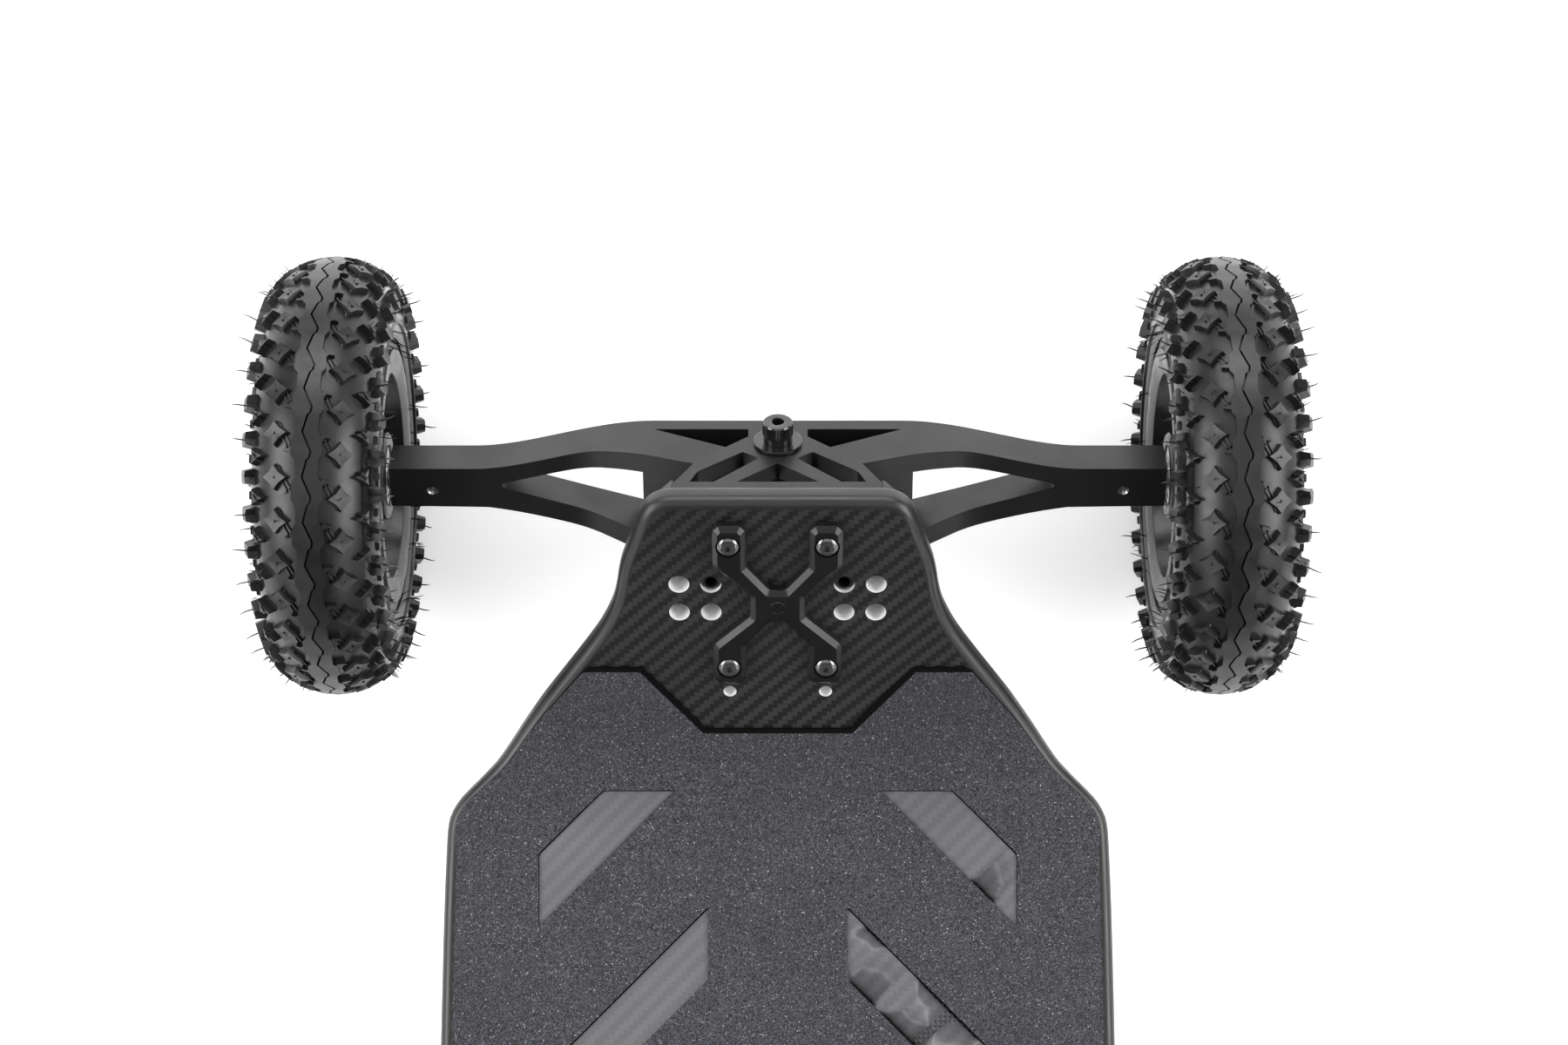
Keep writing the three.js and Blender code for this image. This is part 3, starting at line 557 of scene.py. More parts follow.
def grid_points(outline, holes, spacing):
    """Places inside the outline that let a filled face bend smoothly."""
    rows = set(np.round(np.arange(-FLAT_HALF, FLAT_HALF + 1, 2 * FLAT_HALF / 24), 3))
    for i in range(1, 13):
        for sign in (-1, 1):
            rows.add(round(sign * (FLAT_HALF + BEND_LENGTH * i / 12), 3))
    cloud = np.array([(x, y) for y in rows for x in np.arange(-140, 141, spacing)])
    keep = inside(cloud, offset(outline, 3))
    for hole in holes:
        centre = np.mean(np.array(hole), axis=0)
        wide = [tuple(centre + (np.array(p) - centre) * 1.15) for p in hole]
        keep &= ~inside(cloud, wide)
    return [tuple(p) for p in cloud[keep]]


def fill(bm, outline, holes, height, spacing=20, seams=()):
    """A face of the sheet at one height, with its holes, as triangles, and where each triangle is."""
    loops = [outline, *holes]
    points, edges = [], []
    for loop in loops:
        first = len(points)
        points += [Vector(p) for p in loop]
        edges += [(first + i, first + (i + 1) % len(loop)) for i in range(len(loop))]
    for loop in seams:
        first = len(points)
        points += [Vector(p) for p in loop]
        edges += [(first + i, first + (i + 1) % len(loop)) for i in range(len(loop))]
    points += [Vector(p) for p in grid_points(outline, holes, spacing)]
    verts, _, faces, *_ = delaunay_2d_cdt(points, edges, [], 0, 1e-5)
    flat = np.array([tuple(v) for v in verts])
    centres = np.array([flat[list(f)].mean(axis=0) for f in faces])
    keep = inside(centres, outline)
    for hole in holes:
        keep &= ~inside(centres, hole)
    made = [bm.verts.new(on_deck(x, y, height)) for x, y in flat]
    placed = []
    for face, wanted, (x, y) in zip(faces, keep, centres):
        if wanted and len(set(face)) > 2:
            placed.append((bm.faces.new([made[i] for i in face]), x, y))
    loose = [v for v in made if not v.link_faces]
    bmesh.ops.delete(bm, geom=loose, context="VERTS")
    return placed


def wall(bm, rings):
    """Joins closed rings of (x, length, height) points."""
    rows = [[bm.verts.new(on_deck(*p)) for p in ring] for ring in rings]
    count = len(rows[0])
    for low, high in zip(rows, rows[1:]):
        for i in range(count):
            j = (i + 1) % count
            bm.faces.new((low[i], low[j], high[j], high[i]))


def lay_of_cloth(point):
    """Across and along the deck, in metres, of a point on or near its surface."""
    x, y, z = (v * 1000 for v in point)
    along = abs(y)
    if along > FLAT_HALF:
        dy, dz = along - FLAT_HALF, FLAT_TOP + BEND_RADIUS - z
        turn = math.atan2(dy, dz)
        if turn < TIP_ANGLE:
            along = FLAT_HALF + BEND_RADIUS * turn
        else:
            ry, rz = y * math.copysign(1, y) - bend_y, z - bend_z
            along = FLAT_HALF + BEND_LENGTH + ry * tip_cos + rz * tip_sin
    return x / 1000, math.copysign(along, y) / 1000


def lay_weave(obj, flat=False):
    layer = obj.data.uv_layers.new(name="weave")
    for loop in obj.data.loops:
        point = obj.data.vertices[loop.vertex_index].co
        layer.data[loop.index].uv = (point.x, point.y + point.z) if flat else lay_of_cloth(point)


BOLT_X, BOLT_K, BOLT_CENTRE, BOLT_HOLE = 20.65, 31.75, 5, 3.2
TRUCK_BOLTS = [(sx * BOLT_X, BOLT_CENTRE + sk * BOLT_K) for sx in (-1, 1) for sk in (-1, 1)]
# accessory holes: x, place along the tip and radius
SPARE_HOLES = [
    (28.2, 13.7, 4.4), (41.7, 13.7, 4.4), (28.2, -0.9, 4.4), (41.7, -0.9, 4.4), (BOLT_X, -43.6, 2.8)
]


def tip_holes():
    """Outlines of every hole in both tips, with the radius of each open accessory hole."""
    found = []
    for sign in (-1, 1):
        for x, k in TRUCK_BOLTS:
            found.append((circle(x, sign * tip_length(k), BOLT_HOLE, 20), None))
        for x, k, radius in SPARE_HOLES:
            for sx in (-1, 1):
                found.append((circle(sx * x, sign * tip_length(k), radius, 28), radius))
    return found


def make_deck():
    outline = deck_outline()
    top_round, low_round = 4.6, 3.4
    holes = tip_holes()
    loops = [loop for loop, _ in holes]
    bm = bmesh.new()
    fill(bm, offset(outline, top_round), loops, 0)
    fill(bm, offset(outline, low_round), loops, -DECK_THICKNESS)
    rings = []
    for i in range(7):
        turn = math.pi / 2 * i / 6
        inset, drop = top_round * (1 - math.sin(turn)), top_round * (1 - math.cos(turn))
        rings.append([(x, y, -drop) for x, y in offset(outline, inset)])
    for i in range(6):
        turn = math.pi / 2 * i / 5
        inset, rise = low_round * (1 - math.cos(turn)), low_round * (1 - math.sin(turn))
        rings.append([(x, y, -DECK_THICKNESS + rise) for x, y in offset(outline, inset)])
    first = len(bm.faces)
    wall(bm, rings)
    bm.faces.ensure_lookup_table()
    for face in bm.faces[first:]:
        face.material_index = 2
    for loop in loops:
        wall(bm, [[(x, y, h) for x, y in loop] for h in (0, -DECK_THICKNESS)])
    deck = finish_mesh("deck_shell", bm, CARBON, sharp=50)
    lay_weave(deck)
    deck.data.materials.append(HOLE_WALL_LIGHT)
    deck.data.materials.append(RESIN_EDGE)
    # the open holes' walls, the cut laminate, are painted near-white as painted light seen through the
    # holes: faces at a hole's radius that stand square to the tip
    open_holes = [(*np.mean(np.array(loop), axis=0), radius) for loop, radius in holes if radius]
    for face in deck.data.polygons:
        u, v = (1000 * distance for distance in lay_of_cloth(face.center))
        if abs(v) < tip_length(TIP_START) or abs(u) > 47:
            continue
        tip_normal = Vector((0, -math.copysign(tip_sin, v), tip_cos))
        upright = face.normal.z < 0.7 and abs(face.normal.dot(tip_normal)) < 0.5
        if upright and any(abs(math.hypot(u - x, v - y) - radius) < 0.12 for x, y, radius in open_holes):
            face.material_index = 1
    place(deck, "board", "deck", slot="carbon")
    return deck


# ---- Grip tape ----------------------------------------------------------------------
GRIP_INSET = 5.5
GRIP_BACK = 86.6  # where the grip starts, back from the deck's end
GRIP_STOP = HALF_LENGTH - GRIP_BACK
NOTCH_HALF, NOTCH_MOUTH, NOTCH_DEEP = 31.6, 58.4, 33.0
BORDER_HALF, BORDER_MOUTH, BORDER_DEEP, BORDER = 32.5, 59.4, 35.2, 2.2  # the painted shade line along it
SHOULDER_FROM, SHOULDER_TO, SHOULDER_FADE, SHOULDER_REACH = 90, 185, 25, 2.3
STROKE_INNER, STROKE_OUTER, STROKE_TALL = 30.6, 105.2, 32.2
STROKE_TOPS = (357.8, 259.8, 161.8)
STROKE_CUT = 311.7
# heights of the dark panel that paints a shadow line round each bare window, and of the window's lighter
# carbon with its painted sheen
SHADOW_LINE_HEIGHTS, SHEEN_PANEL_HEIGHTS = (0.05, 0.12), (0.12, 0.22)
SHADOW_ACROSS, SHADOW_ALONG = 0.25, 0.75  # how far the bare carbon lies off the middle of the dark panel beneath, which shows as a painted shadow line


def dense(loop, longest, whole=int):
    """The same outline with more points, so that it follows the deck round its bend."""
    out = []
    for a, b in zip(loop, loop[1:] + loop[:1]):
        steps = max(1, whole(math.dist(a, b) / longest))
        out += [(a[0] + (b[0] - a[0]) * i / steps, a[1] + (b[1] - a[1]) * i / steps) for i in range(steps)]
    return out


def strokes():
    shapes = []
    for top in STROKE_TOPS:
        fall = STROKE_OUTER - STROKE_INNER
        high, low = min(top, STROKE_CUT), min(top - STROKE_TALL, STROKE_CUT)
        shape = [
            (STROKE_INNER + top - high, high), (STROKE_OUTER, top - fall),
            (STROKE_OUTER, top - fall - STROKE_TALL), (STROKE_INNER + top - STROKE_TALL - low, low),
        ]
        shape = dense(rounded(shape, 1.2, 3), 4)
        shapes += [[(x * sx, y * sy) for x, y in shape] for sx in (-1, 1) for sy in (-1, 1)]
    return shapes


def grip_inset(back):
    """How far the grip stops from the deck's edge; it comes closer along the shoulder."""
    start, stop = ((d / SHOULDER_FADE) for d in (back - SHOULDER_FROM, SHOULDER_TO - back))
    near = min(1, max(0, start)) * min(1, max(0, stop))
    return GRIP_INSET - SHOULDER_REACH * near


def grip_outline():
    backs = list(np.arange(GRIP_BACK, 180, 3)) + list(np.arange(180, HALF_LENGTH, 20))
    side = [(half_width(b) - grip_inset(b), HALF_LENGTH - b) for b in backs]
    side[0] = (side[0][0] - 1.5, side[0][1])
    notch = [(0, GRIP_STOP - NOTCH_DEEP), (NOTCH_HALF, GRIP_STOP - NOTCH_DEEP), (NOTCH_MOUTH, GRIP_STOP)]
    nose = [*notch, *side]
    right = nose + [(150 - GRIP_INSET, 0)] + [(x, -y) for x, y in reversed(nose)]
    return dense(right + [(-x, y) for x, y in reversed(right[1:-1])], 5)


def make_grip():
    outline, holes = grip_outline(), strokes()
    low, high = 0.15, 1.25
    # a black band of backing along the notch, left without grit, is painted shade: the grip's raised edge
    # in shadow
    edge, notch = GRIP_STOP - BORDER, GRIP_STOP - BORDER_DEEP
    line = [
        (-150, edge), (-BORDER_MOUTH, edge), (-BORDER_HALF, notch), (BORDER_HALF, notch),
        (BORDER_MOUTH, edge), (150, edge), (150, 0), (-150, 0),
    ]
    gritty = [[(x, y * sign) for x, y in line] for sign in (1, -1)]
    bm = bmesh.new()
    top_faces = fill(bm, outline, holes, high, seams=gritty)
    fill(bm, outline, holes, low)
    sides = len(bm.faces)
    for loop in (outline, *holes):
        wall(bm, [[(x, y, h) for x, y in loop] for h in (high, low)])
    bm.faces.ensure_lookup_table()
    for face in bm.faces[sides:]:
        face.material_index = 1
    for face, x, y in top_faces:
        at = np.array([(x, y)])
        if not any(inside(at, area)[0] for area in gritty):
            face.material_index = 1
    grip = finish_mesh("grip_sheet", bm, GRIT, sharp=30)
    grip.data.materials.append(GRIP_BACKING_AND_SHADE)
    place(grip, "board", "grip_tape", slot="grit")
    # bare windows: carbon painted lighter as a painted sheen of overhead light, over a thin dark panel that
    # is a painted shadow line, widest on the side away from the light
    def panels(loops, low, high):
        bm = bmesh.new()
        for loop in loops:
            fill(bm, loop, [], high)
            fill(bm, loop, [], low)
            wall(bm, [[(x, y, h) for x, y in loop] for h in (low, high)])
        return bm

    shadow_panel = finish_mesh("stroke_shadow_line", panels(holes, *SHADOW_LINE_HEIGHTS), GRIP_BACKING_AND_SHADE, sharp=30)
    place(shadow_panel, "board", slot="rubber")
    bare = []
    for loop in holes:
        middle_x = sum(x for x, _ in loop) / len(loop)
        bare.append([(x - math.copysign(SHADOW_ACROSS, middle_x), y - SHADOW_ALONG) for x, y in loop])
    sheen_panel = finish_mesh("bare_strokes", panels(bare, *SHEEN_PANEL_HEIGHTS), CARBON_PAINTED_SHEEN, sharp=30)
    lay_weave(sheen_panel)
    place(sheen_panel, "board", slot="carbon")


# ---- Tip plate and its bolts --------------------------------------------------------
def button_bolt(radius=5.0, height=3.1, hexagon=1.7):
    """A button-head bolt along z with its head's underside at zero."""
    profile = [(0, radius * 0.98), (0.35, radius), (0.9, radius * 0.98)]
    for i in range(1, 6):
        t = i / 5
        profile.append(
            (
                0.9 + (height - 0.9) * math.sin(t * math.pi / 2),
                radius * 0.98 - (radius * 0.45) * (1 - math.cos(t * math.pi / 2))
            )
        )
    profile += [(height, hexagon * 1.05), (height - 1.6, hexagon * 0.9), (height - 1.8, 0.05), (0, 0.05)]
    turned = lathe(profile, 36)
    turned.transform(Matrix.Rotation(-math.pi / 2, 4, "Y"))
    return turned


def inset(points, distance):
    """Moves each side of a counter-clockwise outline inwards and joins them at mitred corners."""
    out = []
    total = len(points)
    for i, point in enumerate(points):
        before = (Vector(point) - Vector(points[i - 1])).normalized()
        after = (Vector(points[(i + 1) % total]) - Vector(point)).normalized()
        normal_a, normal_b = Vector((-before.y, before.x)), Vector((-after.y, after.x))
        both = normal_a + normal_b
        out.append(tuple(Vector(point) + both * distance / max(0.3, 1 + normal_a.dot(normal_b))))
    return out


def chamfered(outline, radii, low, high, chamfer, count=4):
    """A slab along z whose top edge is chamfered."""
    bm = bmesh.new()
    layers = [(0, low), (0, high - chamfer), (chamfer, high)]
    rows = []
    for distance, z in layers:
        loop = rounded(inset(outline, distance), [max(0.3, r - distance * 0.4) for r in radii], count)
        rows.append([bm.verts.new((x, y, z)) for x, y in loop])
    for a, b in zip(rows, rows[1:]):
        for i in range(len(a)):
            j = (i + 1) % len(a)
            bm.faces.new((a[i], a[j], b[j], b[i]))
    bm.faces.new(list(reversed(rows[0])))
    bm.faces.new(rows[-1])
    bmesh.ops.recalc_face_normals(bm, faces=bm.faces)
    return bm


def make_tip_plate(end):
    matrix = truck_matrix(end)
    corners = [
        (3.4, 8.2), (13.4, 20.5), (13.4, 38.6), (16.0, 41.2), (24.7, 41.2), (27.3, 38.6), (27.3, 20.6),
        (11.4, 5.4)
    ]
    curve = [2.2, 1.6, 0.8, 0.8, 0.8, 0.8, 2.0, 2.0]
    low_half = [(x, -y) for x, y in reversed(corners)]
    low_curve = [2.0, 2.0, 4.0, 4.0, 4.0, 4.0, 1.6, 2.2]
    half = [*corners, *low_half]
    outline = [(x, y + BOLT_CENTRE) for x, y in both_sides(half)]
    radii = [*curve, *low_curve, *reversed(curve + low_curve)]
    outline.reverse()
    radii.reverse()
    base, under = DECK_HEIGHT + 0.2, DECK_HEIGHT - DECK_THICKNESS
    top = base + 5.6
    steps = [("DIFFERENCE", rod("z", 5.3, base + 3.2, top + 3, (x, k), 36)) for x, k in TRUCK_BOLTS]
    body = carve(chamfered(outline, radii, base, top, 2.1), *steps)
    plate = finish_mesh(end + "_cross_plate", body, PLASTIC, matrix, bevel=0.35, segments=2)
    place(plate, "board", end + "_top_plate", slot="plastic")
    ring = lathe([(top, 3.6), (top + 0.35, 3.4), (top + 0.35, 2.6), (top, 2.4)], 40)
    dot = lathe([(top, 1.0), (top + 0.35, 0.9), (top + 0.35, 0.05), (top, 0.05)], 24)
    merge(ring, dot)
    ring.transform(Matrix.Rotation(-math.pi / 2, 4, "Y"))
    badge = finish_mesh(
        end + "_plate_ring", ring, PLASTIC, matrix @ Matrix.Translation((0, BOLT_CENTRE, 0))
    )
    place(badge, "board", slot="plastic")
    bolts = bmesh.new()
    for x, k in TRUCK_BOLTS:
        merge(bolts, button_bolt(), Matrix.Translation((x, k, base + 3.3)))
        nut = prism(circle(x, k, 4.8, 6), under - 13, under - 8.6)
        merge(bolts, nut)
        merge(bolts, rod("z", 2.4, under - 16, base + 3, (x, k), 16))
    place(finish_mesh(end + "_truck_bolts", bolts, BOLT_STEEL_LIT, matrix), "board", slot="black_steel")
    inserts = bmesh.new()
    for sx in (-1, 1):
        tube = lathe([(0, 4.2), (9.5, 4.2), (10.4, 3.6), (10.4, 2.6), (0, 2.6)], 32)
        tube.transform(Matrix.Rotation(-math.pi / 2, 4, "Y"))
        merge(inserts, tube, Matrix.Translation((sx * 28.2, 13.7, under - 0.1)))
    place(finish_mesh(end + "_threaded_inserts", inserts, BLACK_STEEL, matrix), "board", slot="black_steel")


# ---- Trucks -------------------------------------------------------------------------
KINGPIN = 22.5
HANGER_TOP, HANGER_BOTTOM = 23.4, -31
BAR_K, BAR_P, BAR_END = 10, 9.5, 174
FENDER_HOLE = (155, -1.8)


def make_hanger(end):
    half_top = [(BAR_END, -BAR_K), (BAR_END, BAR_K), (136, BAR_K)]
    half_top += bezier(
        (136, BAR_K), (112, BAR_K), (84, HANGER_TOP), (56, HANGER_TOP), 20
    )[1:] + [(56, HANGER_TOP)]
    half_low = bezier((57, HANGER_BOTTOM), (80, -24), (106, -13.6), (136, -BAR_K), 16)
    side = half_top + mirrored(half_top) + mirrored(half_low) + half_low
    plan_half = [(BAR_END, -BAR_P), (BAR_END, BAR_P), (97, BAR_P)]
    plan_half += bezier((97, BAR_P), (88, BAR_P), (84, 9.9), (76, 12.4), 6)[1:] + [(6, 35)]
    plan = plan_half + mirrored(plan_half)
    window = bezier((60, 13.8), (82, 13.4), (104, 6.8), (121.5, 2.6), 14)
    window += bezier((121.5, 2.6), (124.6, 1.4), (124.4, 0.4), (121.8, -0.6), 5)
    window += bezier((121.8, -0.6), (104, -6.4), (84, -12.6), (60, -19.8), 10) + [(60, -19.8)]
    slot_window = rounded([(55.6, -2.5), (18, 14.4), (13.2, 14.4), (13.2, -2.5)], [1.2, 1.0, 1.0, 1.0], 3)
    pocket = rounded([(14, -21), (50, -21), (50, 13.4), (14, 13.4)], 2.5, 4)
    steps = [("INTERSECT", prism(plan, -60, 60, "y"))]
    for flip in (lambda p: p, mirrored):
        steps.append(("DIFFERENCE", prism(flip(window), -40, 70)))
        steps.append(("DIFFERENCE", prism(flip(slot_window), 0, 40, "y")))
        steps.append(("DIFFERENCE", prism(flip(pocket), -40, 14)))
    for sx in (-1, 1):
        steps.append(("DIFFERENCE", rod("z", 2.6, 4, 20, (sx * FENDER_HOLE[0], FENDER_HOLE[1]), 28)))
    body = carve(prism(side, -30, 60), *steps)
    hanger = finish_mesh(end + "_truss", body, ANODISED, truck_matrix(end), bevel=1.1, segments=2)
    place(hanger, end + "_hanger", end + "_hanger", slot="anodised")
    threads = bmesh.new()
    for sx in (-1, 1):
        for turn in range(5):
            ring = lathe([(0, 2.7), (0.5, 2.25), (1.0, 2.7)], 28)
            ring.transform(Matrix.Rotation(-math.pi / 2, 4, "Y"))
            merge(
                threads, ring, Matrix.Translation((sx * FENDER_HOLE[0], FENDER_HOLE[1], BAR_P - 1.6 - turn))
            )
    place(
        finish_mesh(end + "_fender_threads", threads, STEEL, truck_matrix(end)), end + "_hanger",
        slot="steel"
    )


WALL_FRONT, WALL_REAR, WALL = HANGER_TOP + 1, HANGER_BOTTOM - 1, 8
PLATE_TOP = DECK_HEIGHT - DECK_THICKNESS - 0.3
PLATE_UNDER = PLATE_TOP - 7.7


def make_baseplate(end):
    boss = 13
    turn = math.radians(50)
    outline = [
        (35.7, 36.4), (44.3, 52), (53, 71), (53, PLATE_TOP), (-53, PLATE_TOP), (-53, 71), (-44.3, 52),
        (-35.7, 36.4)
    ]
    start, stop = math.pi + turn - 0.25, 2 * math.pi - turn + 0.25
    outline += [
        (
            boss * math.cos(start + (stop - start) * i / 16),
            KINGPIN + boss * math.sin(start + (stop - start) * i / 16)
        )
        for i in range(17)
    ]
    window = rounded(
        [(15.4, 29.3), (34.8, 44.6), (37.4, 51), (42, 61), (36.6, 61), (8.2, 34.1)], [0.8, 2, 1, 1, 1, 1.6],
        3
    )
    centre = rounded([(0, 37.8), (32, 64.5), (32, 73), (-32, 73), (-32, 64.5)], [1.5, 1, 1, 1, 1], 3)
    plate_half = rounded([(46, WALL_REAR - WALL), (52, WALL_REAR - WALL + 6), (52, 46), (44, 54)], 1.5, 3)
    pieces = []
    for low in (WALL_FRONT, WALL_REAR - WALL):
        steps = [
            ("DIFFERENCE", prism(w, low - 5, low + WALL + 5, "y"))
            for w in (window, mirrored(window), centre)
        ]
        pieces.append(carve(prism(outline, low, low + WALL, "y"), *steps))
    body = carve(prism(both_sides(plate_half), PLATE_UNDER, PLATE_TOP), *(("UNION", p) for p in pieces))
    plate = finish_mesh(end + "_truck_base", body, ANODISED, truck_matrix(end), bevel=1.0, segments=2)
    place(plate, "board", end + "_baseplate", slot="anodised")


def make_kingpin(end):
    matrix = truck_matrix(end) @ Matrix.Translation((0, 0, KINGPIN)) @ Matrix.Rotation(math.pi / 2, 4, "Z")
    base = WALL_FRONT + WALL + 0.15
    knurl_low, knurl_high = base + 5.2, base + 10.6
    profile = [
        (base, 4), (base, 10.4), (base + 0.25, 10.6), (base + 1.35, 10.6), (base + 1.6, 10.3),
        (base + 1.6, 6.1),
        (base + 1.8, 6.35), (base + 4.7, 6.35), (base + 4.9, 6.1), (knurl_low, 6.1), (knurl_low, 6.5),
        (knurl_high, 6.5), (knurl_high + 0.6, 6.1), (knurl_high + 0.7, 3.4), (knurl_high + 0.5, 2.9),
        (knurl_high - 4, 2.8), (knurl_high - 4.2, 0.1), (WALL_REAR - WALL - 18, 0.1),
        (WALL_REAR - WALL - 18, 3.4),
        (WALL_REAR - WALL - 17, 4),
    ]
    knurled, socket = (10, 11), (14, 15)  # points of the profile

    def wave(i, j):
        if j in knurled:
            return 0.22 * (i % 2)
        return -0.28 * abs(math.sin(3 * math.pi * i / 96)) if j in socket else 0

    bm = lathe(profile, 96, wave)
    bm.transform(Matrix.Scale(-1, 4, (0, 1, 0)))
    pin = finish_mesh(end + "_kingpin_bolt", bm, BLACK_STEEL, matrix, sharp=28)
    place(pin, "board", end + "_kingpin", slot="black_steel")
    low = WALL_REAR - WALL - 8.3
    nut = carve(
        prism(circle(0, 0, 7.5, 6), low, low + 7.8, "x"), ("DIFFERENCE", rod("x", 4.1, low - 5, low + 20))
    )
    place(
        finish_mesh(end + "_locknut", nut, BLACK_STEEL, matrix, bevel=0.5), "board", end + "_kingpin_nut",
        slot="black_steel"
    )


def make_springs(end):
    matrix = truck_matrix(end)
    for side, sign in SIDES:
        sx = side_of(end, sign)
        low, high, coil, wire, turns = 26.5, PLATE_UNDER - 1.0, 9.2, 1.8, 6.5
        bm = bmesh.new()
        steps, ring = 150, 8
        rows = []
        for i in range(steps + 1):
            t = i / steps
            ease = min(1, max(0, (t - 0.07) / 0.86))
            turn = 2 * math.pi * turns * t
            centre = Vector(
                (coil * math.cos(turn), coil * math.sin(turn), low + wire + (high - low - 2 * wire) * ease)
            )
            out = Vector((math.cos(turn), math.sin(turn), 0))
            rows.append(
                [
                    bm.verts.new(centre + out * wire * math.cos(a) + Vector((0, 0, wire * math.sin(a))))
                    for a in (2 * math.pi * k / ring for k in range(ring))
                ]
            )
        for a, b in zip(rows, rows[1:]):
            for k in range(ring):
                bm.faces.new((a[k], a[(k + 1) % ring], b[(k + 1) % ring], b[k]))
        bm.faces.new(rows[0])
        bm.faces.new(list(reversed(rows[-1])))
        where = matrix @ Matrix.Translation((sx * 34, -4, 0))
        spring = finish_mesh(f"{end}_{side}_coil", bm, SPRING_STEEL, where, sharp=60)
        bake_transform(spring)
        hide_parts(f"{end}_{side}_spring")


# ---- Wheels -------------------------------------------------------------------------
CARCASS_X, CARCASS_R, CARCASS_CENTRE = 27.0, 23.6, 72.6
PITCHES = 32
TREAD_RADIUS = 98
WHISKER_REACH = cad_box[1][0] * 1000 - WHEEL_X - 0.4


def arc_table():
    angles = np.linspace(0, math.radians(150), 400)
    step = np.hypot(np.diff(CARCASS_X * np.sin(angles)), np.diff(CARCASS_R * np.cos(angles)))
    return angles, np.concatenate([[0], np.cumsum(step)])


ARC_ANGLES, ARC_LENGTHS = arc_table()


def on_tyre(across, around, height):
    """A point on the tyre: millimetres across from the crown, turn in radians, and height."""
    t = float(np.interp(abs(across), ARC_LENGTHS, ARC_ANGLES))
    x, r = CARCASS_X * math.sin(t), CARCASS_CENTRE + CARCASS_R * math.cos(t)
    nx, nr = math.sin(t) / CARCASS_X, math.cos(t) / CARCASS_R
    scale = math.hypot(nx, nr)
    x, r = x + height * nx / scale, r + height * nr / scale
    return (math.copysign(x, across), r * math.cos(around), r * math.sin(around))


def lug(bm, outline, shift, height, top_scale=0.86, sink=0.6, side=1, turn=0.0, dish=0.0):
    """A tread block: an outline of (across, around) millimetres raised from the carcass."""
    centre = np.mean(np.array(outline), axis=0)
    rings = []
    for level, scale in ((-sink, 1.06), (height, top_scale)):
        ring = []
        for a, b in outline:
            across = centre[0] + (a - centre[0]) * scale
            around = centre[1] + (b - centre[1]) * scale
            ring.append(bm.verts.new(on_tyre(side * across, turn + (around + shift) / TREAD_RADIUS, level)))
        rings.append(ring)
    count = len(outline)
    for i in range(count):
        j = (i + 1) % count
        bm.faces.new((rings[0][i], rings[0][j], rings[1][j], rings[1][i]))
    middle_point = bm.verts.new(
        on_tyre(side * centre[0], turn + (centre[1] + shift) / TREAD_RADIUS, height - dish)
    )
    for i in range(count):
        bm.faces.new((rings[1][i], rings[1][(i + 1) % count], middle_point))
    bm.faces.new(list(reversed(rings[0])))


def spike(bm, across, around, height, length, lean, thick=0.34):
    """A moulding whisker that stands out of the rubber."""
    base = Vector(on_tyre(across, around, height))
    tip = Vector(on_tyre(across, around + lean / TREAD_RADIUS, height + length))
    tip.x = max(-WHISKER_REACH, min(WHISKER_REACH, tip.x))
    run = (tip - base).normalized()
    sideways = run.orthogonal().normalized()
    other = run.cross(sideways)
    rings = []
    for point, radius in (
        (base, thick), (base.lerp(tip, 0.6) + sideways * length * 0.04, thick * 0.8), (tip, thick * 0.35)
    ):
        rings.append(
            [
                bm.verts.new(point + (sideways * math.cos(a) + other * math.sin(a)) * radius)
                for a in (0, 2.09, 4.19)
            ]
        )
    for a, b in zip(rings, rings[1:]):
        for k in range(3):
            bm.faces.new((a[k], a[(k + 1) % 3], b[(k + 1) % 3], b[k]))
    bm.faces.new(rings[-1])


PITCH = 2 * math.pi * TREAD_RADIUS / PITCHES


def star(across, around, reach, waist, corners, turn=0.0):
    """A concave-sided block: corners at one radius and the middles of its sides at another."""
    out = []
    for i in range(corners * 2):
        angle = turn + math.pi * i / corners
        radius = waist if i % 2 else reach
        out.append((across + radius * math.cos(angle), around + radius * math.sin(angle)))
    return out


DIAMOND = star(13.6, 9.6, 6.1, 3.7, 4)
PIP = star(13.8, 9.6, 0.9, 0.85, 3)
HOOK = [(5.4, 0.6), (9.8, 1.6), (9.6, 2.9), (6.8, 2.6), (5.6, 4.4)]
RIB_ONE = [(6.2, 3.8), (7.0, 3.3), (13.2, 14.9), (12.3, 15.3)]
RIB_TWO = [(7.9, 3.0), (8.6, 2.6), (14.2, 13.2), (13.4, 13.6)]
FORK = star(23.4, 19.4, 5.2, 2.0, 3, math.radians(180))
FORK_RIDGE = [(21.0, 17.2), (22.2, 16.6), (25.6, 20.2), (24.6, 21.4)]
SHOULDER = [(28.2, 5.6), (34.2, 5.0), (36.2, 7.4), (36.2, 11.8), (34.2, 14.2), (28.2, 13.6), (29.6, 9.6)]
SIDE_STUB = [(33.6, 16.4), (37.8, 17.2), (37.8, 20.8), (33.6, 21.6)]
# each block's outline, height, scale of its top, and dish
BLOCKS = [
    (DIAMOND, 2.8, 0.86, 0.45), (PIP, 3.0, 0.7, 0), (HOOK, 2.3, 0.85, 0), (RIB_ONE, 0.9, 0.8, 0),
    (RIB_TWO, 0.8, 0.8, 0), (FORK, 3.4, 0.82, 0.5), (FORK_RIDGE, 3.6, 0.7, 0),
    (SHOULDER, 4.2, 0.78, 0.6), (SIDE_STUB, 1.2, 0.8, 0),
]
SIDEWALL_X = 22.0  # the casing is smoother rubber beyond this


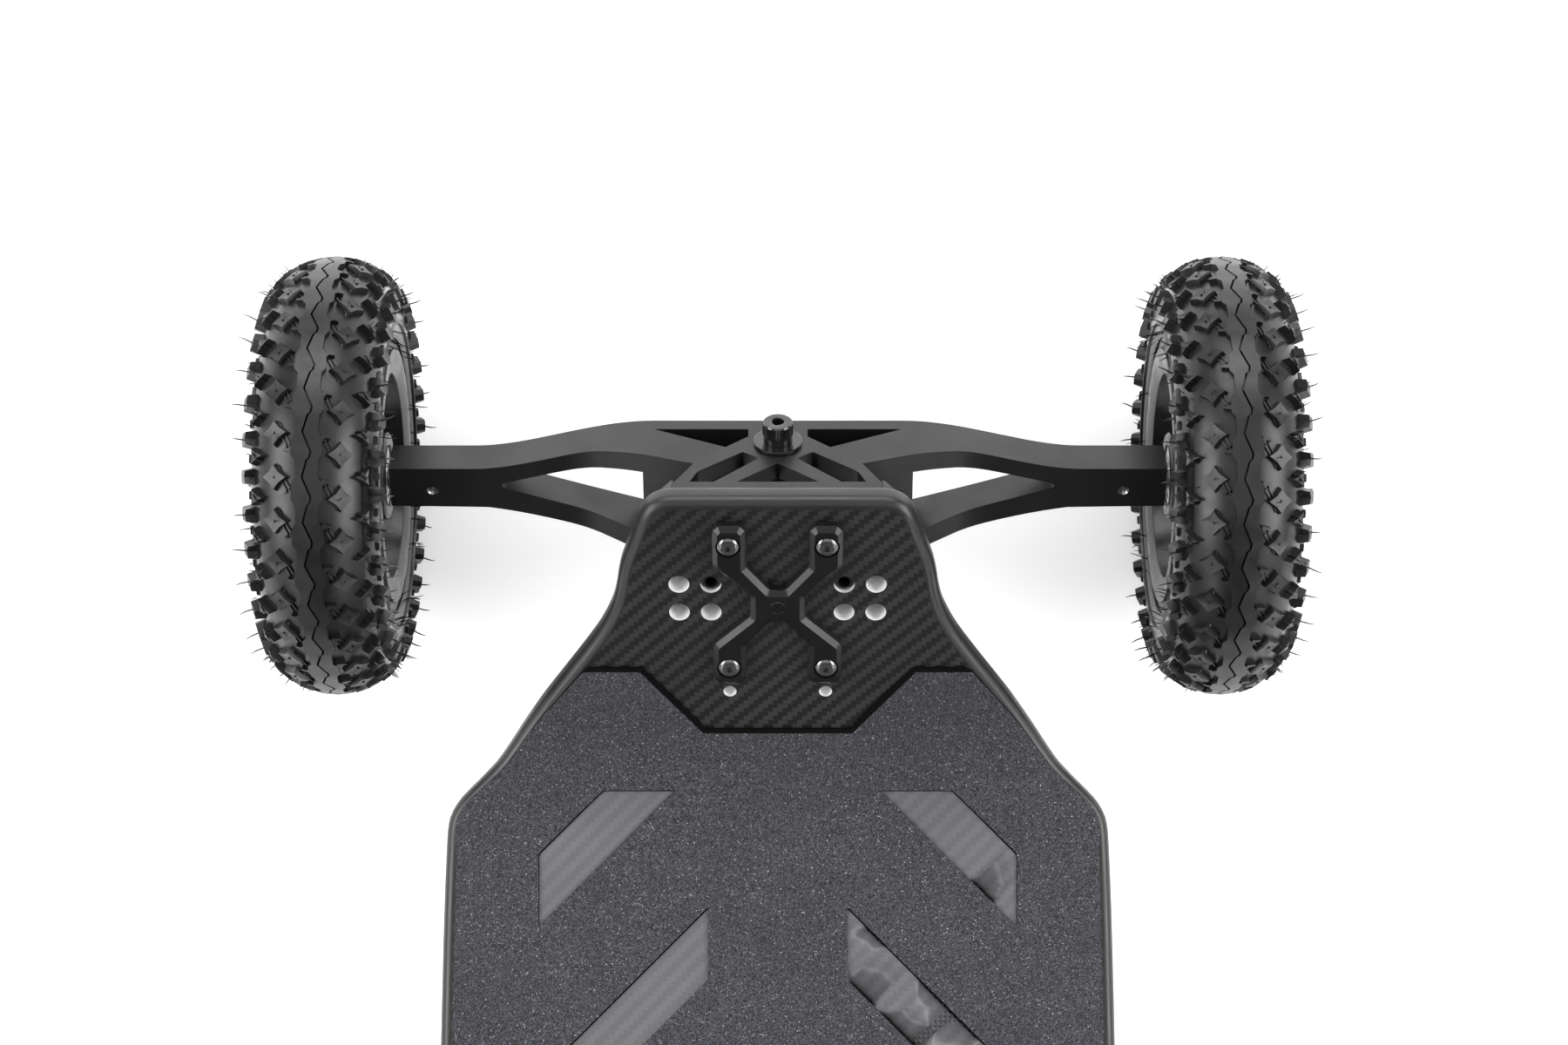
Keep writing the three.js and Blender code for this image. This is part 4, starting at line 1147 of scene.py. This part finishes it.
def make_tyre(end, side, sign):
    node = f"{end}_{side}_tyre"
    bm = bmesh.new()
    outer = []
    for i in range(-22, 23):
        t = math.radians(i / 22 * 128)
        outer.append((CARCASS_X * math.sin(t), CARCASS_CENTRE + CARCASS_R * math.cos(t)))
    bead = [(24.2, 56.5), (24.2, 50.8), (20.4, 50.8), (20.0, 60), (22.6, 72), (18, 86), (8, 92.4)]
    profile = outer + bead + mirrored(bead)
    merge(bm, lathe(profile, 120))
    for face in bm.faces:
        if abs(face.calc_center_median().x) > SIDEWALL_X:
            face.material_index = 1
    # ribs that ring the sidewall beside the rim
    for sx in (-1, 1):
        for across, height in ((43.5, 0.8), (50.0, 0.9)):
            rows = [
                [
                    on_tyre(sx * (across + d), 2 * math.pi * i / 120, h)
                    for d, h in ((-0.8, -0.3), (-0.3, height), (0.3, height), (0.8, -0.3))
                ]
                for i in range(120)
            ]
            rows = [[bm.verts.new(p) for p in row] for row in rows]
            for i in range(120):
                a, b = rows[i], rows[(i + 1) % 120]
                for k in range(3):
                    bm.faces.new((a[k], a[k + 1], b[k + 1], b[k]))
                bm.faces.new((a[3], a[0], b[0], b[3]))
    for pitch in range(PITCHES):
        turn = 2 * math.pi * pitch / PITCHES
        for sx in (-1, 1):
            # the left half of the tread runs half a pitch behind and the other way round
            shift = 0 if sx > 0 else PITCH / 2
            swing = [(0.0, -1.7), (0.44, 1.7), (0.56, 1.3), (0.62, 0.2), (1.0, -1.7)]
            inner = [((a if sx > 0 else -a) + 0.42, PITCH * t) for t, a in swing]
            edge = [(1.0, 4.4), (0.62, 4.7), (0.5, 6.3), (0.14, 6.1), (0.0, 4.4)]
            band(bm, inner + [(a, PITCH * t) for t, a in edge], sx, turn)
            for outline, height, top_scale, dish in BLOCKS:
                turned = [(a, b * sx) for a, b in outline]
                lug(bm, turned, shift, height, top_scale, side=sx, turn=turn, dish=dish)
            # moulding whiskers on the shoulder, the sidewall, the forks and the diamonds
            around = turn + (sx * 9 + shift) / TREAD_RADIUS
            if random.random() < 0.85:
                spike(
                    bm, sx * (32.5 + random.uniform(-1, 1)), around, 3.4, random.uniform(4.5, 8.5),
                    random.uniform(-2, 2), 0.42
                )
            for _ in range(2):
                if random.random() < 0.55:
                    spike(
                        bm, sx * random.uniform(42, 52), around + random.uniform(-0.09, 0.09), 0,
                        random.uniform(4, 8), random.uniform(-2, 2), 0.36
                    )
            for _ in range(3):
                spike(
                    bm, sx * random.uniform(19, 29), turn + random.uniform(0, 0.2), 3.0,
                    random.uniform(1.6, 4.4), random.uniform(-1.5, 1.5), 0.3
                )
            if random.random() < 0.7:
                spike(
                    bm, sx * 12.4, turn + (sx * 9.9 + shift) / TREAD_RADIUS, 2.6, random.uniform(1.2, 3.0),
                    0.3, 0.25
                )
    wheel = Matrix.Translation(middle(node))
    roll = Matrix.Rotation(random.uniform(0, 6), 4, "X")
    tyre = finish_mesh(f"{end}_{side}_tread", bm, TYRE, wheel @ roll, sharp=22)
    tyre.data.materials.append(SIDEWALL)
    place(tyre, f"{end}_{side}_wheel", node, slot="tyre_rubber")


def band(bm, outline, side, turn):
    """A length of the smooth centre band; it meets the next length end to end."""
    half = len(outline) // 2
    inner, outer = outline[:half], outline[half:][::-1]
    rings = []
    for level, grow in ((-0.5, 0.25), (2.5, 0.0)):
        ring = []
        for (a, b), shrink in [(p, 1) for p in inner] + [(p, -1) for p in outer]:
            ring.append(bm.verts.new(on_tyre(side * (a - shrink * grow), turn + b / TREAD_RADIUS, level)))
        rings.append(ring)
    low, top = rings
    for i in range(half - 1):
        bm.faces.new((top[i], top[i + 1], top[half + i + 1], top[half + i]))
        bm.faces.new((low[i], low[i + 1], top[i + 1], top[i]))
        bm.faces.new((low[half + i], low[half + i + 1], top[half + i + 1], top[half + i]))


def make_hub(end, side, sign):
    node = f"{end}_{side}_hub"
    bm = lathe([
        (-26, 57.3), (-26.2, 55), (-25.8, 50.5), (-24, 46), (-18, 45), (-14, 43.2), (14, 43.2), (18, 45),
        (24, 46), (25.8, 50.5), (26.2, 55), (26, 57.3),
        (24.7, 57.5), (24.3, 56.5), (24.3, 49.8), (18, 48.6), (13, 46), (-13, 46), (-18, 48.6),
        (-24.3, 49.8), (-24.3, 56.5), (-24.7, 57.5),
    ], 96)
    merge(
        bm,
        lathe(
            [
                (-23, 14.2), (-22.4, 13.8), (22.4, 13.8), (23, 14.2), (23, 18.4), (22, 19.6), (-22, 19.6),
                (-23, 18.4)
            ],
            64
        )
    )
    spokes = 5
    for i in range(spokes):
        turn = Matrix.Rotation(2 * math.pi * i / spokes, 4, "X")
        # each arm leaves the barrel as one limb and splits into two towards the rim
        arm = [
            (17, -5.4), (27, -4.6), (44.6, -15.0), (44.9, -9.2), (33.5, 0), (44.9, 9.2), (44.6, 15.0),
            (27, 4.6), (17, 5.4)
        ]
        thick = prism(rounded(arm, [0, 2, 0, 0, 2.5, 0, 0, 2, 0], 4), 3.6, 13.4, "x")
        for face in thick.faces:
            face.smooth = False
        merge(bm, thick, turn)
        rib = prism([(18, -1.6), (34, -1.2), (34, 1.2), (18, 1.6)], 1.2, 15.0, "x")
        merge(bm, rib, turn)
    hub = finish_mesh(
        f"{end}_{side}_rim", bm, HUB_PAINT, Matrix.Translation(middle(node)) @ facing(sign), sharp=35,
        bevel=0.7
    )
    place(hub, f"{end}_{side}_wheel", node, slot="anodised")
    valve = bmesh.new()
    merge(valve, lathe([(0, 0.05), (0, 3.2), (9, 3.2), (11, 2.6), (20, 2.6), (21, 2.2), (21, 0.05)], 20))
    lift = (
        Matrix.Translation(middle(node) + Vector((sign * -4, 0, 0)))
        @ Matrix.Rotation(2.0 + sign, 4, "X")
        @ Matrix.Translation((0, 0, 44.5))
        @ Matrix.Rotation(math.pi / 2, 4, "Y")
        @ Matrix.Rotation(0.25 * sign, 4, "Y")
    )
    place(
        finish_mesh(f"{end}_{side}_valve", valve, BLACK_STEEL, lift), f"{end}_{side}_wheel",
        slot="black_steel"
    )


def make_wheel_metal(end, side, sign):
    prefix = f"{end}_{side}_"
    for which in ("inner", "outer"):
        node = prefix + which + "_bearing"
        c = middle(node)
        bm = lathe(
            [
                (-3.9, 8.6), (-3.9, 6.15), (3.9, 6.15), (3.9, 8.6), (3.3, 8.9), (3.3, 11.4), (3.9, 11.8),
                (3.9, 13.4), (3.5, 13.7), (-3.5, 13.7), (-3.9, 13.4), (-3.9, 11.8), (-3.3, 11.4),
                (-3.3, 8.9)
            ],
            48
        )
        place(
            finish_mesh(prefix + which + "_race", bm, STEEL, Matrix.Translation(c)), prefix + "wheel", node,
            slot="steel"
        )
    node = prefix + "axle_nut"
    c = middle(node)
    nut = carve(prism(circle(0, 0, 10.4, 6), -3.4, 3.4, "x"), ("DIFFERENCE", rod("x", 6.1, -9, 9)))
    obj = finish_mesh(prefix + "wheel_nut", nut, BLACK_STEEL, Matrix.Translation(c), bevel=0.6)
    place(obj, end + "_hanger", node, slot="black_steel")
    node = prefix + "axle"
    low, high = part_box(node)
    centre = middle(node)
    length = (high[0] * 1000 - low[0] * 1000) / 2
    thread_from = length - 22
    profile = [(-length, 0.05), (-length, 5.4), (-length + 1, 5.9), (thread_from, 5.9)]
    steps = 14
    for i in range(steps):
        profile += [
            (thread_from + 20.5 * (i + 0.25) / steps, 5.45), (thread_from + 20.5 * (i + 0.75) / steps, 5.9)
        ]
    profile += [(length - 0.4, 5.3), (length, 5.0), (length, 0.05)]
    bm = lathe(profile, 32)
    place(
        finish_mesh(prefix + "stub_axle", bm, STEEL, Matrix.Translation(centre) @ facing(sign), sharp=25),
        end + "_hanger", node, slot="steel"
    )


# ---- Belt drive ---------------------------------------------------------------------
MOTOR_K = 78  # the motor's shaft, along the kingpin's side of the axle
SCREW_CIRCLE = 17.5
PULLEY_TEETH = (16, 64)
MOTOR_PULLEY_R, WHEEL_PULLEY_R = 12.6, 50.9


def make_drive(end, side, sign):
    prefix = f"{end}_{side}_"
    truck = truck_matrix(end)
    sx = side_of(end, sign)
    outward = facing(sx)
    shaft = truck @ outward @ Matrix.Translation((0, MOTOR_K, 0))
    rotor = f"{prefix}motor_rotor"
    # bell: a can with cooling slots in its end, on the motor's shaft
    bell = lathe(
        [
            (58, 5), (58, 27), (60, 31), (62, 32), (127.5, 32), (129, 31.4), (129, 28.8), (63, 28.8),
            (63, 9), (61, 5)
        ],
        72
    )
    slots = []
    for i in range(8):
        turn = 2 * math.pi * i / 8
        shape = [
            (radius * math.cos(turn + lean), radius * math.sin(turn + lean))
            for radius, lean in ((12, -0.22), (24.5, -0.28), (24.5, 0.12), (12, 0.1))
        ]
        slots.append(("DIFFERENCE", prism(rounded(shape, 1.5, 3), 50, 64, "x")))
    bell = carve(bell, *slots)
    place(
        finish_mesh(prefix + "motor_can", bell, ANODISED, shaft, bevel=0.5), rotor, prefix + "motor_bell",
        slot="anodised"
    )
    bands = bmesh.new()
    for low in (66, 120):
        merge(bands, lathe([(low, 32.02), (low + 0.4, 32.3), (low + 2.6, 32.3), (low + 3, 32.02)], 72))
    merge(bands, lathe([(56.2, 0.05), (56.2, 4.4), (56.8, 5), (168.4, 5), (169, 4.4), (169, 0.05)], 32))
    place(finish_mesh(prefix + "motor_shaft", bands, BLACK_STEEL, shaft), rotor, slot="black_steel")
    # stator: wound teeth round a steel core, seen through the slots, and the flange it hangs on
    core = lathe([(68, 8), (68, 15), (131, 15), (131, 8)], 48)
    for i in range(12):
        turn = Matrix.Rotation(2 * math.pi * i / 12, 4, "X")
        coil = prism(rounded([(15.5, -3.4), (25.5, -4.6), (25.5, 4.6), (15.5, 3.4)], 1.5, 3), 66, 127, "x")
        merge(core, coil, turn)
    windings = finish_mesh(prefix + "windings", core, COPPER, shaft, bevel=0.6)
    place(windings, end + "_hanger", prefix + "motor_stator", slot="copper")
    flange = carve(
        lathe([(130.2, 6.2), (130.2, 30.4), (131.2, 31.2), (137, 31.2), (137.7, 30.4), (137.7, 6.2)], 72)
    )
    place(finish_mesh(prefix + "motor_flange", flange, ANODISED, shaft), end + "_hanger", slot="anodised")
    # mount: a clamp round the axle bar that carries the motor
    outline = [(-22, -18), (-18, -22), (4, -22)]
    start, stop = -1.45, 1.45
    outline += [
        (
            MOTOR_K + 27 * math.cos(start + (stop - start) * i / 24),
            27 * math.sin(start + (stop - start) * i / 24)
        )
        for i in range(25)
    ]
    outline += [(4, 22), (-18, 22), (-22, 18)]
    steps = [
        (
            "DIFFERENCE",
            prism(rounded([(-10.3, -9.8), (10.3, -9.8), (10.3, 9.8), (-10.3, 9.8)], 1, 3), 130, 150, "x")
        ),
        ("DIFFERENCE", rod("x", 7.2, 130, 150, (MOTOR_K, 0), 40)),
        ("DIFFERENCE", prism([(-1, 9), (1, 9), (1, 30), (-1, 30)], 130, 150, "x")),
        (
            "DIFFERENCE",
            prism(rounded([(19, -9), (40, -13), (44, 0), (40, 13), (19, 9)], 3, 4), 130, 150, "x")
        ),
    ]
    screw_places = [
        (MOTOR_K + SCREW_CIRCLE * math.cos(turn), SCREW_CIRCLE * math.sin(turn))
        for turn in (math.pi / 4 + math.pi / 2 * i for i in range(4))
    ]
    steps += [("DIFFERENCE", rod("x", 2.2, 130, 150, at, 20)) for at in screw_places]
    plate = finish_mesh(
        prefix + "motor_bracket", carve(prism(outline, 138, 146, "x"), *steps), ANODISED, truck @ outward,
        bevel=0.8
    )
    place(plate, end + "_hanger", prefix + "motor_mount", slot="anodised")
    screws = bmesh.new()
    for at in screw_places:
        screw = button_bolt(3.4, 2.0, 1.1)
        merge(screws, screw, Matrix.Translation((146, *at)) @ Matrix.Rotation(math.pi / 2, 4, "Y"))
    merge(screws, rod("y", 2.6, -15, 15, (142, 17), 16))
    place(
        finish_mesh(prefix + "motor_screws", screws, BLACK_STEEL, truck @ outward), end + "_hanger",
        slot="black_steel"
    )
    # pulleys
    profile = [
        (148, 5.1), (167, 5.1), (167, 14.0), (165.7, 14.2), (165.5, 12.6), (150, 12.6), (149.8, 14.2),
        (148, 14.0),
    ]
    small = lathe(
        profile, PULLEY_TEETH[0] * 6, lambda i, j: -1.5 if j in (4, 5) and i % 6 in (0, 1) else 0
    )
    place(
        finish_mesh(prefix + "drive_pulley", small, BLACK_STEEL, shaft, sharp=30), rotor,
        prefix + "motor_pulley", slot="black_steel"
    )
    wheel_axis = Matrix.Translation((0, AXLE, AXLE_HEIGHT))
    level = (Matrix.Rotation(0 if end == "front" else math.pi, 4, "Z") @ wheel_axis) @ outward
    profile = [
        (148, 40), (161, 40), (161, 16.5), (174.3, 16.5), (174.3, 21.2), (201.4, 21.2), (201.4, 33),
        (200.4, 34),
        (170, 34), (167, 37), (167, 51.8), (166.4, 52.8), (165.6, 52.8), (165.6, 50.9), (150, 50.9),
        (148.6, 50.9), (148, 49.5),
    ]
    big = lathe(profile, PULLEY_TEETH[1] * 4, lambda i, j: -1.6 if j in (13, 14) and i % 4 == 0 else 0)
    place(
        finish_mesh(prefix + "driven_pulley", big, ANODISED, level, sharp=30), f"{prefix}wheel",
        prefix + "wheel_pulley", slot="anodised"
    )
    # belt: smooth back and teeth inside
    bm = bmesh.new()
    gap, back, pitch_line = 0.3, 3.0, 1.2

    def loop(distance):
        large, little = WHEEL_PULLEY_R + distance, MOTOR_PULLEY_R + distance
        wrap = math.acos((large - little) / MOTOR_K)
        points = [
            (
                large * math.cos(wrap + (2 * math.pi - 2 * wrap) * i / 80),
                large * math.sin(wrap + (2 * math.pi - 2 * wrap) * i / 80)
            )
            for i in range(81)
        ]
        points += [
            (
                MOTOR_K + little * math.cos(-wrap + 2 * wrap * i / 24),
                little * math.sin(-wrap + 2 * wrap * i / 24)
            )
            for i in range(25)
        ]
        return points
    path = dense(loop(gap + pitch_line), 2.5, round)
    count = len(path)

    def centre(i):
        return Vector(path[i % count])

    rows = []
    for i in range(count):
        run = (centre(i + 1) - centre(i - 1)).normalized()
        normal = Vector((run.y, -run.x))
        tooth = -1.0 if i % 2 == 0 else 0.0
        a, b = centre(i) + normal * (back - pitch_line), centre(i) + normal * tooth
        rows.append([bm.verts.new((x, p.x, p.y)) for x, p in ((150, a), (165, a), (165, b), (150, b))])
    for i in range(count):
        a, b = rows[i], rows[(i + 1) % count]
        for k in range(4):
            bm.faces.new((a[k], a[(k + 1) % 4], b[(k + 1) % 4], b[k]))
    place(
        finish_mesh(prefix + "toothed_belt", bm, RUBBER, truck @ outward, sharp=40), end + "_hanger",
        prefix + "belt", slot="rubber"
    )


# ---- Enclosure ----------------------------------------------------------------------
def make_enclosure():
    low, high = (Vector(v) * 1000 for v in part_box("enclosure"))
    half_x, half_y = high.x, high.y
    corner = [(half_x - 22, -half_y), (half_x, -half_y + 22), (half_x, half_y - 22), (half_x - 22, half_y)]
    outline = rounded(both_sides(corner), 9, 6)
    levels = [
        (low.z, 9.0), (low.z + 0.8, 5.6), (low.z + 2.6, 2.9), (low.z + 6, 0.9), (low.z + 11, 0.2),
        (high.z - 4.2, 0.0), (high.z - 4, 0.0), (high.z, 0.0)
    ]
    bm = bmesh.new()
    def shrink(distance):
        return [
            (
                x - math.copysign(min(distance, abs(x)), x) if abs(x) > 1 else x,
                y - math.copysign(distance, y)
            )
            for x, y in outline
        ]
    rows = [[bm.verts.new((x, y, z)) for x, y in shrink(d)] for z, d in levels]
    rows += [[bm.verts.new((x, y, z)) for x, y in shrink(d)] for z, d in ((high.z, 3.0), (low.z + 3, 3.4))]
    for a, b in zip(rows, rows[1:]):
        for i in range(len(a)):
            j = (i + 1) % len(a)
            bm.faces.new((a[i], a[j], b[j], b[i]))
    bm.faces.new(list(reversed(rows[0])))
    bm.faces.new(rows[-1])
    steps = [
        (
            "DIFFERENCE",
            rod("x", 8, half_x - 12, half_x + 5, (middle("power_button").y, middle("power_button").z), 40)
        )
    ]
    tray = finish_mesh("enclosure_tray", carve(bm, *steps), CARBON, sharp=30)
    lay_weave(tray, flat=True)
    place(tray, "board", "enclosure", slot="carbon")
    # long grooves pressed in its floor, and the screws that hold it to the deck
    ribs = bmesh.new()
    for x in (-60, -30, 0, 30, 60):
        shape = rounded([(x - 3, -190), (x + 3, -190), (x + 3, 190), (x - 3, 190)], 2.9, 5)
        merge(ribs, prism(shape, low.z - 0.9, low.z + 0.6))
    place(finish_mesh("enclosure_ribs", ribs, PLASTIC, bevel=0.5), "board", slot="plastic")
    screws = bmesh.new()
    for y in np.linspace(-half_y + 34, half_y - 34, 7):
        for sx in (-1, 1):
            merge(screws, rod("z", 3.6, high.z - 18, high.z - 0.5, (sx * (half_x + 4.0), y), 6))
            lugs = prism(
                rounded(
                    [
                        (sx * (half_x - 1), y - 7), (sx * (half_x + 8.5), y - 4.5),
                        (sx * (half_x + 8.5), y + 4.5), (sx * (half_x - 1), y + 7)
                    ],
                    2, 4
                ),
                high.z - 3.6, high.z - 0.1
            )
            merge(screws, lugs)
    place(finish_mesh("enclosure_lugs", screws, PLASTIC, bevel=0.5), "board", slot="plastic")
    gasket = frame["nodes"]["enclosure_gasket"]
    gasket.data.materials.clear()
    gasket.data.materials.append(RUBBER)


def make_small_parts():
    c = middle("power_button")
    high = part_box("power_button")[1][0] * 1000
    cap = lathe(
        [
            (high - 8.4, 0.05), (high - 8.4, 7), (high - 0.9, 7), (high - 0.2, 6.4), (high, 5.2),
            (high - 0.5, 3.6), (high - 0.6, 0.05)
        ],
        48
    )
    stem = lathe([(high - 16, 0.05), (high - 16, 3), (high - 8, 3), (high - 8, 0.05)], 24)
    merge(cap, stem)
    place(
        finish_mesh("power_cap", cap, PLASTIC, Matrix.Translation((0, c.y, c.z))), "power_button",
        "power_button", slot="plastic"
    )
    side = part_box("enclosure")[1][0] * 1000
    bezel = lathe(
        [
            (side - 0.5, 8.1), (side - 0.5, 10), (side + 0.9, 10), (side + 1.3, 9.6), (side + 1.3, 8.4),
            (side + 0.9, 8.1)
        ],
        48
    )
    place(
        finish_mesh("power_bezel", bezel, ANODISED, Matrix.Translation((0, c.y, c.z))), "board",
        slot="anodised"
    )
    low, high = (Vector(v) * 1000 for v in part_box("charge_socket"))
    box_outline = rounded([(low.y, low.z), (high.y, low.z), (high.y, high.z), (low.y, high.z)], 2.5, 5)
    mid = (low + high) / 2
    socket = carve(
        prism(box_outline, low.x - 0.2, high.x, "x"),
        ("DIFFERENCE", rod("x", 6, low.x + 3, high.x + 4, (mid.y, mid.z), 36))
    )
    place(finish_mesh("charge_port", socket, PLASTIC, bevel=0.6), "board", "charge_socket", slot="plastic")
    pin = lathe(
        [
            (low.x + 2.8, 0.05), (low.x + 2.8, 1.3), (high.x - 2.5, 1.3), (high.x - 2, 0.9),
            (high.x - 2, 0.05)
        ],
        20
    )
    place(
        finish_mesh("charge_pin", pin, STEEL, Matrix.Translation((0, mid.y, mid.z))), "board", slot="steel"
    )
    low, high = (Vector(v) * 1000 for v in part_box("charge_cap"))
    flap = prism(
        rounded([(low.y, low.z), (high.y, low.z), (high.y, high.z), (low.y, high.z)], 2.5, 5), low.x,
        high.x, "x"
    )
    place(finish_mesh("charge_flap", flap, RUBBER, bevel=0.7), "charge_cap", "charge_cap", slot="rubber")
    low, high = (Vector(v) * 1000 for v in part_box("cable_gland"))
    c = (low + high) / 2
    gland = bmesh.new()
    merge(gland, prism(circle(0, 0, 9.9, 6), high.y - 8, high.y, "y"))
    dome = lathe([(low.y, 4.2), (low.y, 6.4), (low.y + 3, 7.4), (high.y - 8, 7.6), (high.y - 8, 4.2)], 40)
    dome.transform(Matrix.Rotation(math.pi / 2, 4, "Z"))
    merge(gland, dome)
    place(
        finish_mesh("gland_body", gland, PLASTIC, Matrix.Translation((0, 0, c.z)), bevel=0.4), "board",
        "cable_gland", slot="plastic"
    )
    # battery: wrapped cells in two layers of eight; controller: a finned block
    low, high = (Vector(v) * 1000 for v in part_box("battery_pack"))
    pack = bmesh.new()
    rows = 8
    wide = (high.x - low.x) / rows
    for i in range(rows):
        x = low.x + wide * (i + 0.5)
        for level in (0.26, 0.74):
            z = low.z + (high.z - low.z) * level
            merge(
                pack,
                prism(
                    [
                        (x + wide * 0.49 * math.cos(a), z + 9.4 * math.sin(a))
                        for a in (2 * math.pi * k / 20 for k in range(20))
                    ],
                    low.y, high.y, "y"
                )
            )
    place(finish_mesh("cell_pack", pack, SHRINK, sharp=40), "board", "battery_pack", slot="plastic")
    low, high = (Vector(v) * 1000 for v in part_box("motor_controller"))
    block = bmesh.new()
    merge(
        block,
        prism([(low.x, low.y), (high.x, low.y), (high.x, high.y), (low.x, high.y)], low.z, high.z - 8)
    )
    for i in range(14):
        x = low.x + 4 + (high.x - low.x - 8) * i / 13
        merge(
            block,
            prism(
                [(x - 1.5, low.y + 3), (x + 1.5, low.y + 3), (x + 1.5, high.y - 3), (x - 1.5, high.y - 3)],
                high.z - 8.5, high.z
            )
        )
    place(
        finish_mesh("controller_block", block, ANODISED, bevel=0.4), "board", "motor_controller",
        slot="anodised"
    )


# ---- Stage --------------------------------------------------------------------------
WORLD_HORIZON, WORLD_ZENITH = 0.26, 0.05
FOCAL_LENGTH, CAMERA_HEIGHT = 72.8, 1430  # the height is above the axles


def make_stage():
    mesh = bpy.data.meshes.new("floor")
    half = 6
    mesh.from_pydata(
        [(-half, -half, 0), (half, -half, 0), (half, half, 0), (-half, half, 0)], [], [(0, 1, 2, 3)]
    )
    floor = bpy.data.objects.new("floor", mesh)
    bpy.context.scene.collection.objects.link(floor)
    n = Nodes("pale_floor")
    n.set(
        Base_Color=(0.93, 0.93, 0.93, 1), Roughness=0.6, Emission_Color=(1, 1, 1, 1), Emission_Strength=0.34
    )
    mesh.materials.append(n.material)

    # a bright horizon that fades to a dark ceiling, with large soft panels round it and one above
    world = bpy.data.worlds.new("studio")
    bpy.context.scene.world = world
    world.use_nodes = True
    tree = world.node_tree
    place = tree.nodes.new("ShaderNodeTexCoord")
    split = tree.nodes.new("ShaderNodeSeparateXYZ")
    fade = tree.nodes.new("ShaderNodeMapRange")
    tree.links.new(place.outputs["Generated"], split.inputs[0])
    tree.links.new(split.outputs[2], fade.inputs[0])
    for socket, value in zip(list(fade.inputs)[1:5], (0.15, 0.75, WORLD_HORIZON, WORLD_ZENITH)):
        socket.default_value = value
    tree.links.new(fade.outputs[0], tree.nodes["Background"].inputs[1])
    tree.nodes["Background"].inputs[0].default_value = (1, 1, 1, 1)

    def softbox(name, location, target, width, height, power):
        data = bpy.data.lights.new(name, "AREA")
        data.shape, data.size, data.size_y, data.energy = "RECTANGLE", width, height, power
        lamp = bpy.data.objects.new(name, data)
        lamp.location = location
        lamp.rotation_euler = (Vector(target) - Vector(location)).to_track_quat("-Z", "Y").to_euler()
        bpy.context.scene.collection.objects.link(lamp)

    softbox("left_panel", (-2.3, 0.3, 1.7), (0, 0.3, 0), 2.6, 1.6, 84)
    softbox("right_panel", (2.3, 0.3, 1.7), (0, 0.3, 0), 2.6, 1.6, 84)
    softbox("nose_panel", (0, 2.9, 1.7), (0, 0.3, 0), 3.0, 1.6, 68)
    softbox("tail_left_panel", (-1.9, -2.2, 1.4), (0, 0.4, 0), 1.3, 1.0, 12)
    softbox("tail_right_panel", (1.9, -2.2, 1.4), (0, 0.4, 0), 1.3, 1.0, 12)
    softbox("ceiling_panel", (0, 0.7, 3.2), (0, 0.7, 0), 3.0, 3.0, 24)

    camera = bpy.data.objects.new("camera", bpy.data.cameras.new("camera"))
    camera.data.lens = FOCAL_LENGTH
    camera.data.sensor_width = 36
    camera.location = (0.0027, (AXLE - 21.2) / 1000, (AXLE_HEIGHT + CAMERA_HEIGHT) / 1000)
    bpy.context.scene.collection.objects.link(camera)
    bpy.context.scene.camera = camera
    bpy.context.scene.view_settings.view_transform = "Standard"


make_stage()
make_deck()
make_grip()
for end in ENDS:
    make_tip_plate(end)
    make_hanger(end)
    make_baseplate(end)
    make_kingpin(end)
    make_springs(end)
    for side, sign in SIDES:
        make_tyre(end, side, sign)
        make_hub(end, side, sign)
        make_wheel_metal(end, side, sign)
        if end == "rear":
            make_drive(end, side, sign)
make_enclosure()
make_small_parts()
